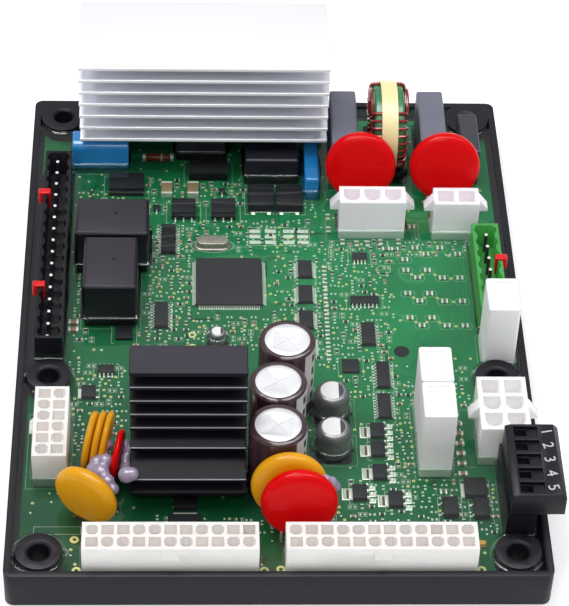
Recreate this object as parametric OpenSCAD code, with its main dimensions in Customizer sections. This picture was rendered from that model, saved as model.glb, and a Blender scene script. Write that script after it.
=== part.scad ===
// Potted control board for a generator set, in an open tray with six screw bosses.
// Millimetres. X runs to the right, Y to the back, Z up.
// The origin is at the centre of the tray's underside.

/* [Tray] */
// Width of the tray over its side walls
tray_width = 148; // [146:0.5:170]
// Length of the tray over its end walls
tray_length = 197; // [195:0.5:225]
// Height of the tray's rim above its underside
tray_height = 12; // [11:0.5:14]
// Thickness of the side walls
tray_wall = 2; // [1.5:0.1:2.4]
// Thickness of the tray's floor
tray_floor = 2; // [1.5:0.1:3]
// Outer radius of the tray's corners
tray_corner = 2.5; // [2.2:0.1:4]
// Diameter of the front and middle bosses
boss_diameter = 12.7; // [11:0.1:13.2]
// Diameter of the back bosses, which join the corners
back_boss_diameter = 14; // [12:0.1:14.4]
// Diameter of the screw holes through the bosses
boss_bore = 5.9; // [5:0.1:6.5]
// Width of the shoulder round each boss that carries the board
boss_shoulder = 1.2; // [1:0.1:1.4]
// Distance of the bosses from the tray's side faces
boss_side = 9.2; // [9:0.05:9.5]
// Distance of the back bosses from the tray's back face
boss_back = 7.6; // [7.4:0.1:7.8]
// Distance from the front pair of bosses to the middle pair
boss_middle = 65.7; // [65:0.1:66.5]
// Distance of the front bosses from the tray's front face
boss_front = 8.9; // [8.7:0.1:9.1]

/* [Circuit board and potting] */
// Height of the board's underside above the tray's underside
board_level = 5.5; // [4.5:0.1:6]
// Thickness of the circuit board
board_thickness = 1.6; // [1.2:0.1:2]
// Gap between the board's edge and the tray's walls
board_gap = 1.4; // [0.8:0.1:1.4]
// Clearance round the bosses in the board
boss_clearance = 0.3; // [0.2:0.1:0.5]
// Diameter of the open hole in the right half of the board
board_hole = 4.6; // [3:0.1:6]
// Height of the potting resin's surface above the tray's underside
potting_level = 11; // [10.5:0.1:11.5]

/* [Large heat sink] */
// Length of the large heat sink
large_sink_length = 77; // [70:0.5:77.5]
// Length of the large fins in front of the spine
large_front_fin = 23.6; // [18:0.1:24]
// Length of the large fins behind the spine
large_rear_fin = 5.9; // [1.5:0.1:6.4]
// Height of the large heat sink above the board
large_sink_height = 43.3; // [41:0.1:57]
// Distance between the large fins
large_fin_pitch = 4.68; // [4.3:0.02:4.78]
// Thickness of the large fins
large_fin_thickness = 1.1; // [0.8:0.1:1.6]
// Number of large fins
large_fin_count = 7; // [4:1:7]
// Thickness of the large heat sink's spine
large_spine = 3.5; // [2.5:0.1:4.5]

/* [Small heat sink] */
// Length of the small heat sink
small_sink_length = 31.8; // [28:0.1:32.5]
// Depth of the small heat sink over its upper fins
small_upper_depth = 10.8; // [8:0.1:12]
// Depth of the small heat sink over its middle fin
small_middle_depth = 13.4; // [10.8:0.1:14]
// Depth of the small heat sink over its two lowest fins
small_lower_depth = 20.2; // [17:0.1:20.8]
// Height of the small heat sink above the board
small_sink_height = 44.9; // [43.7:0.1:50.7]
// Distance between the small fins
small_fin_pitch = 5.3; // [4.8:0.05:5.4]
// Thickness of the small fins
small_fin_thickness = 1.4; // [1:0.1:2]
// Thickness of the small heat sink's spine
small_spine = 3.4; // [2.5:0.1:4]

/* [Power devices] */
// Width of the power devices on the heat sinks
device_width = 10.2; // [8:0.1:10.4]
// Thickness of the power devices
device_thickness = 4.5; // [3.5:0.1:4.7]
// Height of the power devices' bodies
device_height = 9.2; // [7:0.1:9.3]
// Height of the devices' bodies above the board
device_lift = 4; // [3:0.1:4.2]
// Thickness of the devices' metal tabs
device_tab = 1.3; // [0.8:0.1:1.5]
// Distance between the two devices on the small heat sink
device_spacing = 15.8; // [12:0.1:20]

/* [Wire to board headers] */
// Distance between the poles of the fine headers
fine_pitch = 4.2; // [4.1:0.05:4.25]
// Width of the cavities in the fine headers
fine_cavity = 3.3; // [2.8:0.1:3.5]
// Wall added at each end of a fine header
fine_end_wall = 0.6; // [0.4:0.1:0.9]
// Height of the fine headers above the board
fine_height = 12.8; // [11:0.1:15]
// Width of the fine headers' square pins
fine_pin = 1.07; // [0.8:0.01:1.2]
// Distance between the poles of the coarse headers
coarse_pitch = 6.35; // [6.2:0.05:6.45]
// Width of the cavities in the coarse headers
coarse_cavity = 4.9; // [4:0.1:5.2]
// Wall added at each end of a coarse header
coarse_end_wall = 0.6; // [0.4:0.1:0.9]
// Height of the coarse headers above the board
coarse_height = 14.9; // [13:0.1:16]
// Diameter of the coarse headers' round pins
coarse_pin = 2.1; // [1.6:0.1:2.4]
// Thickness of the headers' solid floor
header_floor = 3.2; // [2.5:0.1:4]
// How far the coarse headers' latch ears stand out
ear_reach = 2.8; // [1.5:0.1:2.9]
// Width of the coarse headers' latch ears
ear_width = 3.4; // [2:0.1:6]

/* [Pluggable headers] */
// Distance between the poles of the pluggable headers
plug_pitch = 5.08; // [5:0.01:5.12]
// Width of the pluggable headers over both walls
plug_width = 8; // [7.6:0.1:8.2]
// Height of the pluggable headers above the board
plug_height = 12; // [11:0.1:13]
// Thickness of the pluggable headers' thin walls
plug_wall = 1.3; // [1:0.1:1.5]
// Radius of the scallops in the headers' walls
plug_scallop = 2.1; // [1.5:0.1:2.3]
// Width of the pluggable headers' square pins
plug_pin = 1; // [0.7:0.05:1.2]
// Width of the five pole plug's upper part
plug_top_width = 14.7; // [13:0.1:16]
// Height of the five pole plug's upper part
plug_top_height = 7.9; // [6:0.1:10]
// Width of the clamp openings in the plug
plug_opening = 3.2; // [2.8:0.1:3.6]
// Depth of the clamp openings in the plug
plug_opening_depth = 6; // [4:0.1:7]
// Width of the coding keys
key_width = 2.2; // [1.5:0.1:3]
// How far the coding keys stand out beside the header
key_reach = 1.5; // [1:0.1:1.6]

/* [Relays and resistors] */
// Long side of a relay
relay_length = 22; // [20:0.1:22.2]
// Short side of a relay
relay_width = 16; // [14:0.1:16.2]
// Height of a relay above the board
relay_height = 16.4; // [12:0.1:20]
// Width of a cement resistor
cement_width = 9.2; // [8:0.1:9.4]
// Length of a cement resistor
cement_length = 13.3; // [11:0.1:13.4]
// Height of a cement resistor above the board
cement_height = 25; // [20:0.5:28]
// Wall of a cement resistor's ceramic case
cement_wall = 1.6; // [1.2:0.1:2]

/* [Capacitors] */
// Diameter of the tall electrolytic capacitors
tall_can_diameter = 16; // [14:0.1:16.1]
// Height of the tall electrolytic capacitors above the board
tall_can_height = 25.4; // [20:0.1:32]
// Thickness of the tall capacitors' sleeve
sleeve_thickness = 0.3; // [0.2:0.05:0.5]
// Diameter of the low surface mounted capacitors
low_can_diameter = 10; // [8:0.1:10.2]
// Height of the low surface mounted capacitors
low_can_height = 10.2; // [8:0.1:12]
// Diameter of the smallest surface mounted capacitor
tiny_can_diameter = 5; // [4:0.1:6]
// Height of the smallest surface mounted capacitor
tiny_can_height = 5.4; // [4:0.1:7]
// Width of the grey film capacitors
grey_film_width = 8.3; // [7:0.1:8.6]
// Length of the grey film capacitors
grey_film_length = 26; // [22:0.1:26.4]
// Height of the grey film capacitors above the board
grey_film_height = 18.8; // [14:0.1:22]
// Height of the dark film capacitor above the board
dark_film_height = 13.7; // [11:0.1:18]
// Length of the large blue capacitor
blue_film_length = 17.5; // [15:0.1:17.8]
// Height of the large blue capacitor above the board
blue_film_height = 11.5; // [9:0.1:12.5]
// Height of the slim blue capacitor above the board
slim_film_height = 8.5; // [6.5:0.1:11]

/* [Varistors] */
// Diameter of the two large varistors
large_disc = 21.8; // [20:0.1:22.6]
// Thickness of the large varistors
large_disc_thickness = 5; // [4:0.1:5.4]
// Lean of the large varistors, in degrees
large_disc_lean = 20; // [16:0.5:21]
// Diameter of the two front varistors
front_disc = 21; // [18:0.1:21.2]
// Thickness of the front varistors
front_disc_thickness = 4.4; // [3.5:0.1:4.7]
// Lean of the two front varistors, in degrees
front_disc_lean = 12; // [8:0.5:13]
// Diameter of the turned varistor at the front left
turned_disc = 18.8; // [16:0.1:18.9]
// Diameter of the thin discs
thin_disc = 16.5; // [14:0.1:17]
// Thickness of the thin discs
thin_disc_thickness = 2; // [1.5:0.1:2.1]
// Diameter of the varistors' wires
disc_wire = 0.8; // [0.6:0.05:1]

/* [Choke] */
// Outer diameter of the choke's core
core_diameter = 25; // [23:0.1:25.4]
// Diameter of the hole in the choke's core
core_hole = 14; // [13.4:0.1:15]
// Width of the choke's core
core_width = 9.4; // [8:0.1:9.6]
// Diameter of the choke's wire
choke_wire = 1; // [0.8:0.05:1.05]
// Number of turns in each of the two windings
choke_turns = 12; // [6:1:12]
// Width of the tape round the choke
tape_width = 5; // [3:0.1:6]

/* [Microcontroller] */
// Side of the microcontroller's square body
micro_side = 20; // [18:0.1:20.4]
// Thickness of the microcontroller's body
micro_thickness = 1.4; // [1:0.1:1.8]
// Number of leads along each side of the microcontroller
micro_leads = 36; // [12:2:36]

/* [Hidden] */
$fn = 48;

front = -tray_length / 2;
back = tray_length / 2;
left = -tray_width / 2;
right = tray_width / 2;
inner_front = front + tray_wall;
inner_back = back - tray_wall;
inner_left = left + tray_wall;
inner_right = right - tray_wall;
board_top = board_level + board_thickness;
boss_y = front + boss_front;
boss_across = tray_width - 2 * boss_side;
boss_along = tray_length - boss_front - boss_back;
edge_relief = 0.6;
large_spine_back = inner_back - board_gap - 0.1;
large_foot_length = large_sink_length - 4;

// The layout is drawn on a tray of this width and length, and keeps its shares of a changed one
drawn_width = 148;
drawn_length = 197;
function across(x) = x * tray_width / drawn_width;
function along(y) = y * tray_length / drawn_length;
function place(p) = [for (i = [0:len(p) - 1]) i == 0 ? across(p[0]) : i == 1 ? along(p[1]) : p[i]];
function places(list) = [for (p = list) place(p)];

// Bosses, as x, y and diameter
bosses = [
    for (side = [-1, 1]) [side * boss_across / 2, boss_y, boss_diameter],
    for (side = [-1, 1]) [side * boss_across / 2, boss_y + boss_middle, boss_diameter],
    for (side = [-1, 1]) [side * boss_across / 2, boss_y + boss_along, back_boss_diameter]
];

// Fine headers, as x, y, columns, rows and turn
row_clearance = 0.9;
row_y = inner_front + row_clearance + fine_pitch + fine_end_wall;
header_22_at = [across(-29.3), row_y, 11, 2, 0];
header_24_at = [across(27.4), row_y, 12, 2, 0];
header_12_at = [inner_left + 9.1, along(-49.2), 6, 2, 90];

// Coarse headers, as x, y, columns, rows and turn
header_6_at = [inner_right - 8.05, along(-44.1), 3, 2, 90];
header_3_at = place([31.55, 42.9, 3, 1, 0]);
header_2_at = place([57.2, 42.45, 2, 1, 0]);

// Pluggable headers, as x, y, poles and the side that the pins stand towards
header_16_at = [inner_left + 7, along(24.8), 16, 1];
header_7_at = [inner_right - 6.7, along(15.2), 7, -1];
header_5_at = [inner_right - 6.2, along(-69.95), 5, 1];

// Relays, as x, y and turn
relay_1_at = place([-47.6, 31.4, 0]);
relay_2_at = place([-47.7, 11.4, 90]);

// Cement resistors
cement_rear_at = place([44.6, -38.6]);
cement_front_at = place([44.6, -52.3]);
cement_right_at = [inner_right - 6.1, boss_y + boss_middle + 13.2];

// Round capacitors
tall_cans = places([[3.15, -29.7], [0.2, -45.85], [-0.2, -62.1]]);
low_cans = places([[16.3, -34.9], [16.2, -48.9]]);
tiny_can = place([-16.1, -6.5]);

// Film capacitors
grey_films = places([[24.0, 75], [51.6, 75]]);
dark_film_at = place([63.6, 73.8]);
dark_film_size = [6.1, 18.6];
blue_film_at = place([-52.3, 73.3]);
blue_film_width = 8.6;
slim_film_at = place([13.8, 66.3]);
slim_film_size = [4.6, 19];

// Discs, as x, y, z, diameter, thickness, lean and turn
large_disc_z = board_top + large_disc / 2 * cos(large_disc_lean) + 3.7;
front_disc_z = board_top + front_disc / 2 * cos(front_disc_lean) + 3.5;
red_discs = places([
    [28.5, 57.3, large_disc_z, large_disc, large_disc_thickness, large_disc_lean, 0],
    [54.7, 57.3, large_disc_z, large_disc, large_disc_thickness, large_disc_lean, 0],
    [5.4, -80, front_disc_z, front_disc, front_disc_thickness, front_disc_lean, 0]
]);
yellow_discs = places([
    [2.8, -74.7, front_disc_z + 1, front_disc, front_disc_thickness, front_disc_lean, 0],
    [-52.3, -75.3, board_top + turned_disc / 2 + 2, turned_disc, front_disc_thickness, 0, -30]
]);
thin_pitch = 2.25;
thin_lean = -6.9;
thin_turn = 79.9;
thin_yellow = [
    for (i = [-1:1]) [across(-49.75) + i * thin_pitch, along(-54), board_top + thin_disc / 2 + 1.8,
        thin_disc, thin_disc_thickness, thin_lean, thin_turn]
];
thin_red = [place([-44.2, -58, board_top + 8.8, 14, thin_disc_thickness, thin_lean, thin_turn])];
all_discs = concat(red_discs, yellow_discs, thin_yellow, thin_red);

// Choke
choke_at = place([37.7, 75.6, board_top + core_diameter / 2 + 2.5]);
choke_base_size = [13, 22, 5];

// Surface mounted chips with leads, as x, y, width, length, height, leads a side, pitch and turn
chips = places([
    [-30.8, 37.5, 4.4, 12.2, 1.7, 10, 1.2, 0],
    [-32.7, 4.5, 4, 9.9, 1.7, 8, 1.27, 0],
    [10.7, 24.5, 4.2, 6.8, 1.5, 9, 0.74, 0],
    [10.5, 13.6, 4.2, 6.8, 1.5, 9, 0.74, 0],
    [10.4, 2.7, 4.2, 6.8, 1.5, 9, 0.74, 0],
    [10.3, -8.2, 4.2, 6.8, 1.5, 9, 0.74, 0],
    [27.6, 30.2, 3, 4.5, 1.3, 4, 1.1, 90],
    [28.2, 11.2, 3.2, 8.5, 1.3, 7, 1.2, 90],
    [28.6, -3.2, 4, 8.7, 1.6, 7, 1.2, 0],
    [32.1, -19.9, 3.7, 9.9, 1.5, 8, 1.2, 0],
    [31.8, -32.3, 3.7, 9.2, 1.5, 8, 1.1, 0],
    [-48.5, -17.8, 3.2, 4.8, 1.3, 4, 1.2, 90],
    [-26.2, 50.5, 6.4, 7.4, 3.3, 3, 2.54, 90],
    [-13.9, 50.5, 6.4, 7.4, 3.3, 3, 2.54, 90],
    [-14.2, 60, 2.2, 2, 1.1, 1, 1.9, 90],
    [-34.6, 52, 2.2, 2, 1.1, 1, 1.9, 90],
    [48, -70.9, 4.2, 6.4, 2.2, 2, 3.8, 0],
    [56.6, -71.4, 4.2, 6.4, 2.2, 2, 3.8, 0]
]);
micro_at = place([-12.4, 18.7]);
crystal_at = place([-17.3, 35.6]);
crystal_base = 0.6;
crystal_can = 2;
crystal_size = [11.2, 5];
diode_at = place([-35, 75]);
lamp_at = place([55.8, -83.6]);
board_hole_at = place([38.2, -9.6]);

// Flat packages without visible leads, as x, y, width, length and height
flat_chips = places([
    [-43.6, -2.8, 5, 5, 1],
    [22.8, -16.1, 5, 5, 1],
    [-44.1, 61.8, 10.8, 7.4, 3.4],
    [-18.5, 69.2, 12, 7.4, 3.4]
]);

// Power packages with a metal tab, as x, y, width, length, height and turn of the tab's side
power_chips = places([
    [-2.1, 55.6, 8.2, 9.8, 3.2, 90],
    [6.7, 55.6, 8.2, 9.8, 3.2, 90],
    [-53.3, -27, 4.2, 4.6, 1.6, 180],
    [55.5, -64, 6.2, 6.4, 2.3, 180],
    [29.2, -42, 4, 5.2, 1.7, 180],
    [29, -49.1, 4, 5.2, 1.7, 180],
    [29.1, -57.8, 4, 5.2, 1.7, 180],
    [23.1, -65.3, 4, 5.2, 1.7, 180],
    [33, -67.8, 4, 5.2, 1.7, 180]
]);

// Chip resistors, as x, y and turn
zigzag_x = [41.5, 44.9, 48.1, 52.4, 57.8];
zigzag_drop = [0, 3.2, 0, 3.3, 3.3];
resistors = places([
    for (row = [24.8, 14.7, 4.3], i = [0:4]) [zigzag_x[i], row - zigzag_drop[i], 0],
    [41.5, 29.5, 0], [44.9, 34.8, 0], [48.1, 32, 0], [52.6, 34.8, 0], [57.9, 32, 0],
    [18.6, 48.6, 0], [18.6, 42.8, 0], [44.6, 44.3, 0],
    for (i = [0:11]) [16.6, 25 - 3.4 * i, 0],
    [46.6, -64.5, 0],
    [22.7, 37.2, 0], [27, 36.5, 0], [30.4, 36.5, 0], [34.5, 37.2, 0], [40, 37.4, 0],
    [36, 34.3, 90], [38.7, 34.3, 90]
]);

// Chip capacitors, as x, y, width, length and height
capacitors = places([
    [-31.5, 60, 3.4, 5, 2.2],
    [-23.3, 60, 3.4, 5, 2.2],
    [-58.6, 1.6, 2.5, 1.6, 1.2],
    [-58.6, -1.5, 2.5, 1.6, 1.2],
    for (i = [0:5]) [52.5, -39 - 3.8 * i, 2, 1.3, 1]
]);

// Black moulded modules under the large heat sink, as x, y, width, length and height
black_blocks = places([[1.3, 70.5, 17, 13, 9.9], [-20.8, 79.5, 16, 9, 8]]);

// Heat sinks and the places of the devices along them
large_sink_x = across(-20);
large_devices = [for (i = [-1:1]) large_sink_x - 1 + 25 * i];
small_sink_x = across(-24.6);
small_sink_back = along(-51.1);
small_devices = [for (side = [-1, 1]) small_sink_x + side * device_spacing / 2];
device_screw = device_lift + device_height + 3.9;
screw_bore = 3;
lead_pitch = 2.54;

// Blocks that stand in the resin, as x, y, width, length and height above the board
function on_side(turn) = turn == 90 || turn == 270;
standing = concat(
    [for (p = [relay_1_at, relay_2_at])
        [p[0], p[1], on_side(p[2]) ? relay_width : relay_length,
        on_side(p[2]) ? relay_length : relay_width, relay_height]],
    [for (p = [cement_rear_at, cement_front_at, cement_right_at])
        [p[0], p[1], cement_width, cement_length, cement_height]],
    [for (p = grey_films) [p[0], p[1], grey_film_width, grey_film_length, grey_film_height]],
    [[dark_film_at[0], dark_film_at[1], dark_film_size[0], dark_film_size[1], dark_film_height]],
    [[slim_film_at[0], slim_film_at[1], slim_film_size[0], slim_film_size[1], slim_film_height]],
    black_blocks,
    [for (p = capacitors) p],
    [for (p = flat_chips) p]
);

// Round leads that pass through the board, as x, y and diameter
function disc_foot(d) = let (r = d[3] / 2 * sin(d[5]))
    [for (s = [-1, 1])
        [d[0] + r * sin(d[6]) + s * d[3] * 0.22 * cos(d[6]),
            d[1] - r * cos(d[6]) + s * d[3] * 0.22 * sin(d[6]), disc_wire]];
disc_leads = [for (d = all_discs, p = disc_foot(d)) p];
power_leads = [
    for (x = large_devices, i = [-1:1])
        [x + lead_pitch * i, large_spine_back - large_spine - device_thickness / 2, 1],
    for (x = small_devices, i = [-1:1]) [x + lead_pitch * i, small_sink_back + device_thickness / 2, 1]
];
choke_leads = [for (x = [-3.5, 3.5], y = [-7, 7]) [choke_at[0] + x, choke_at[1] + y, choke_wire]];

module block(x, y, z, w, l, h) {
    translate([x - w / 2, y - l / 2, z]) cube([w, l, h]);
}

module rod(x, y, z, d, h) {
    translate([x, y, z]) cylinder(d = d, h = h);
}

module round_block(w, l, r, z, h) {
    block(0, 0, z, w - 2 * r, l, h);
    block(0, 0, z, w, l - 2 * r, h);
    for (x = [-1, 1], y = [-1, 1]) rod(x * (w / 2 - r), y * (l / 2 - r), z, 2 * r, h);
}

module cut_corner_block(x, y, z, w, l, h, c) {
    translate([x, y, z]) linear_extrude(h) polygon([
        [-w / 2 + c, -l / 2], [w / 2 - c, -l / 2], [w / 2, -l / 2 + c], [w / 2, l / 2 - c],
        [w / 2 - c, l / 2], [-w / 2 + c, l / 2], [-w / 2, l / 2 - c], [-w / 2, -l / 2 + c]
    ]);
}

// A block with its top edges cut at 45 degrees on all four sides
module capped_block(x, y, z, w, l, h, c) {
    intersection() {
        cut_corner_block(x, y, z, w, l, h, c);
        translate([x, y, z]) rotate([90, 0, 0]) linear_extrude(l + 1, center = true) polygon([
            [-w / 2, 0], [w / 2, 0], [w / 2, h - c], [w / 2 - c, h], [-w / 2 + c, h], [-w / 2, h - c]
        ]);
        translate([x, y, z]) rotate([90, 0, 90]) linear_extrude(w + 1, center = true) polygon([
            [-l / 2, 0], [l / 2, 0], [l / 2, h - c], [l / 2 - c, h], [-l / 2 + c, h], [-l / 2, h - c]
        ]);
    }
}

// The fill of each back corner between the boss and the walls
module corner_fill(z, h, grow) {
    for (side = [-1, 1]) {
        x0 = side * boss_across / 2;
        y0 = boss_y + boss_along;
        x1 = side * (tray_width / 2 - tray_wall / 2);
        y1 = back - tray_wall / 2;
        translate([min(x0, x1) - grow, y0 - grow, z])
            cube([abs(x1 - x0) + 2 * grow, y1 - y0 + 2 * grow, h]);
    }
}

module boss_bodies(grow) {
    for (b = bosses) rod(b[0], b[1], tray_floor, b[2] + 2 * grow, tray_height - tray_floor);
    corner_fill(tray_floor, tray_height - tray_floor, grow);
}

module boss_shoulders(grow) {
    for (b = bosses)
        rod(b[0], b[1], tray_floor, b[2] + 2 * boss_shoulder + 2 * grow, board_level - tray_floor);
}

module tray() {
    color("#2b2c33") difference() {
        union() {
            difference() {
                round_block(tray_width, tray_length, tray_corner, 0, tray_height);
                block(0, 0, tray_floor, tray_width - 2 * tray_wall, tray_length - 2 * tray_wall,
                    tray_height);
            }
            boss_bodies(0);
            intersection() {
                boss_shoulders(0);
                block(0, 0, tray_floor, tray_width - tray_wall, tray_length - tray_wall, tray_height);
            }
        }
        for (b = bosses) {
            rod(b[0], b[1], -1, boss_bore, tray_height + 2);
            translate([b[0], b[1], tray_height - edge_relief])
                cylinder(d1 = boss_bore, d2 = boss_bore + 2.4 * edge_relief, h = edge_relief + 0.01);
        }
    }
}

board_width = tray_width - 2 * tray_wall - 2 * board_gap;
board_length = tray_length - 2 * tray_wall - 2 * board_gap;

module circuit_board() {
    color("#1e6b3c") difference() {
        block(0, 0, board_level, board_width, board_length, board_thickness);
        translate([0, 0, board_level - tray_floor - 1]) boss_bodies(boss_clearance);
        for (x = [left, boss_across / 2]) translate([x, front, board_level - 1])
            cube([boss_side, boss_front, board_thickness + 2]);
        rod(board_hole_at[0], board_hole_at[1], board_level - 1, board_hole, board_thickness + 2);
        for (p = concat(disc_leads, power_leads, choke_leads))
            rod(p[0], p[1], board_level - 1, p[2], board_thickness + 2);
        for (h = [header_22_at, header_24_at, header_12_at])
            header_pins(h, fine_pitch, fine_pin, board_level - 1, board_thickness + 2);
        for (h = [header_6_at, header_3_at, header_2_at])
            header_posts(h, coarse_pitch, coarse_pin, board_level - 1, board_thickness + 2);
        for (h = [header_16_at, header_7_at, header_5_at])
            plug_pins(h, board_level - 1, board_thickness + 2);
    }
}

// How far the pins end below the tops of their headers
fine_pin_drop = 3;
coarse_pin_drop = 4;
plug_pin_drop = 1.8;

// The places of a header's poles
function poles(columns, rows, pitch) = [
    for (i = [0:columns - 1], j = [0:rows - 1])
        [(i - (columns - 1) / 2) * pitch, (j - (rows - 1) / 2) * pitch]
];

module header_pins(h, pitch, pin, z, tall) {
    translate([h[0], h[1], 0]) rotate([0, 0, h[4]])
        for (p = poles(h[2], h[3], pitch)) block(p[0], p[1], z, pin, pin, tall);
}

module header_posts(h, pitch, pin, z, tall) {
    translate([h[0], h[1], 0]) rotate([0, 0, h[4]])
        for (p = poles(h[2], h[3], pitch)) rod(p[0], p[1], z, pin, tall);
}

// A round fronted cavity, or a square one
module coarse_cavity_shape(x, y, z, w, tall, rounded, turn) {
    translate([x, y, z]) rotate([0, 0, turn]) linear_extrude(tall) union() {
        if (rounded) circle(d = w);
        translate([-w / 2, rounded ? 0 : -w / 2]) square([w, rounded ? w / 2 : w]);
    }
}

module keyed_cavity(x, y, z, w, tall, keyed) {
    if (keyed) cut_corner_block(x, y, z, w, w, tall, w * 0.24);
    else block(x, y, z, w, w, tall);
}

module fine_header(h) {
    w = h[2] * fine_pitch + 2 * fine_end_wall;
    l = h[3] * fine_pitch + 2 * fine_end_wall;
    difference() {
        translate([h[0], h[1], 0]) rotate([0, 0, h[4]]) {
            difference() {
                block(0, 0, board_top, w, l, fine_height);
                for (i = [0:h[2] - 1], j = [0:h[3] - 1])
                    keyed_cavity((i - (h[2] - 1) / 2) * fine_pitch, (j - (h[3] - 1) / 2) * fine_pitch,
                        board_top + header_floor, fine_cavity, fine_height,
                        (i * 3 + j * 2) % 4 > 1);
            }
            latch = (h[4] == 90) ? 1 : -1;
            translate([0, latch * l / 2, board_top + fine_height])
                rotate([90, 0, 90]) linear_extrude(4.6, center = true)
                polygon([[0, -1], [latch * 1.2, -2.6], [latch * 1.2, -3.2], [0, -3.2]]);
        }
        header_pins(h, fine_pitch, fine_pin, board_top - 1, header_floor + 2);
    }
}

module coarse_header(h) {
    w = h[2] * coarse_pitch + 2 * coarse_end_wall;
    l = h[3] * coarse_pitch + 2 * coarse_end_wall;
    difference() {
        translate([h[0], h[1], 0]) rotate([0, 0, h[4]]) {
            difference() {
                block(0, 0, board_top, w, l, coarse_height);
                for (i = [0:h[2] - 1], j = [0:h[3] - 1])
                    coarse_cavity_shape((i - (h[2] - 1) / 2) * coarse_pitch,
                        (j - (h[3] - 1) / 2) * coarse_pitch, board_top + header_floor,
                        coarse_cavity, coarse_height, h[2] == 3 && (h[3] == 1 || i < 2), -h[4]);
            }
            for (side = [-1, 1]) ear(side, h[3] == 2 ? 0 : side * w / 2, h[3] == 2 ? side * l / 2 : 0,
                h[3] == 2);
        }
        header_posts(h, coarse_pitch, coarse_pin, board_top - 1, header_floor + 2);
    }
}

// A latch ear that slopes out from the header's top and steps back below
ear_slope = 3.6;
ear_face = 1.1;

module ear(side, x, y, sideways) {
    translate([x, y, board_top + coarse_height]) rotate([90, 0, sideways ? 90 : 0])
        linear_extrude(ear_width, center = true)
        polygon([[0, 0], [side * ear_reach, -ear_slope], [side * ear_reach, -ear_slope - ear_face],
            [0, -ear_slope - ear_face]]);
}

module plug_pins(h, z, tall) {
    for (i = [0:h[2] - 1])
        block(h[0] - h[3] * 0.4, h[1] + (i - (h[2] - 1) / 2) * plug_pitch, z, plug_pin, plug_pin, tall);
}

plug_end_wall = 0.35;

module pluggable_header(h) {
    l = h[2] * plug_pitch + 2 * plug_end_wall;
    difference() {
        block(h[0], h[1], board_top, plug_width, l, plug_height);
        block(h[0], h[1], board_top + header_floor, plug_width - 2 * plug_wall, l - 2 * plug_wall,
            plug_height);
        for (i = [0:h[2] - 1], side = [-1, 1])
            rod(h[0] + side * (plug_width / 2 - plug_wall - 1.4), h[1] + (i - (h[2] - 1) / 2) * plug_pitch,
                board_top + header_floor, 2 * plug_scallop, plug_height);
        plug_pins(h, board_top - 1, header_floor + 2);
    }
}

// A coding key that clips over the header's outer wall, with a short leg outside and a tail inside
key_top = 0.8;
key_leg = 3.6;
key_tail = 6;
key_clearance = 0.1;

module coding_key(h, pole) {
    side = -h[3];
    inner = plug_wall + key_clearance;
    translate([h[0] + side * plug_width / 2, h[1] + (pole - (h[2] - 1) / 2) * plug_pitch,
        board_top + plug_height]) rotate([90, 0, 0]) linear_extrude(key_width, center = true)
        polygon([[side * (key_reach - 0.3), key_top], [side * key_reach, key_top - 0.3],
            [side * key_reach, -key_leg], [side * key_clearance, -key_leg], [side * key_clearance, 0],
            [-side * inner, 0], [-side * inner, -key_tail], [-side * (inner + 0.5), -key_tail],
            [-side * (inner + 0.8), 0], [-side * (inner + 0.8), key_top]]);
}

module header_22_way() {
    color("#e9e7e0") fine_header(header_22_at);
}

module header_24_way() {
    color("#e9e7e0") fine_header(header_24_at);
}

module header_12_way() {
    color("#e9e7e0") fine_header(header_12_at);
}

module fine_header_pins() {
    color("#c9b070") for (h = [header_22_at, header_24_at, header_12_at])
        header_pins(h, fine_pitch, fine_pin, board_level, board_thickness + fine_height - fine_pin_drop);
}

module header_6_way() {
    color("#dcdcda") coarse_header(header_6_at);
}

module header_3_way() {
    color("#e9e7e0") coarse_header(header_3_at);
}

module header_2_way() {
    color("#e9e7e0") coarse_header(header_2_at);
}

module coarse_header_pins() {
    color("#c8c8c4") for (h = [header_6_at, header_3_at, header_2_at])
        header_posts(h, coarse_pitch, coarse_pin, board_level,
            board_thickness + coarse_height - coarse_pin_drop);
}

module header_16_way() {
    color("#1c1c20") pluggable_header(header_16_at);
}

module header_7_way() {
    color("#4fa36b") pluggable_header(header_7_at);
}

module header_5_way() {
    color("#1c1c20") pluggable_header(header_5_at);
}

module pluggable_header_pins() {
    color("#c8c8c4") for (h = [header_16_at, header_7_at])
        plug_pins(h, board_level, board_thickness + plug_height - plug_pin_drop);
    color("#c8c8c4") plug_pins(header_5_at, board_level, board_thickness + header_floor + 1.6);
}

module coding_keys() {
    color("#c4232b") {
        coding_key(header_16_at, 11.75);
        coding_key(header_16_at, 3.75);
        coding_key(header_7_at, 3.55);
    }
}

// The plug stands in its header on its lower part and overhangs the tray's wall
plug_length = header_5_at[2] * plug_pitch + 0.5;
plug_left = header_5_at[0] - plug_width / 2 + 0.6;
plug_middle = header_5_at[1] - 0.95;
plug_screw_x = plug_left + 4;
plug_recess = 1.2;
plug_rib = 0.5;

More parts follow.
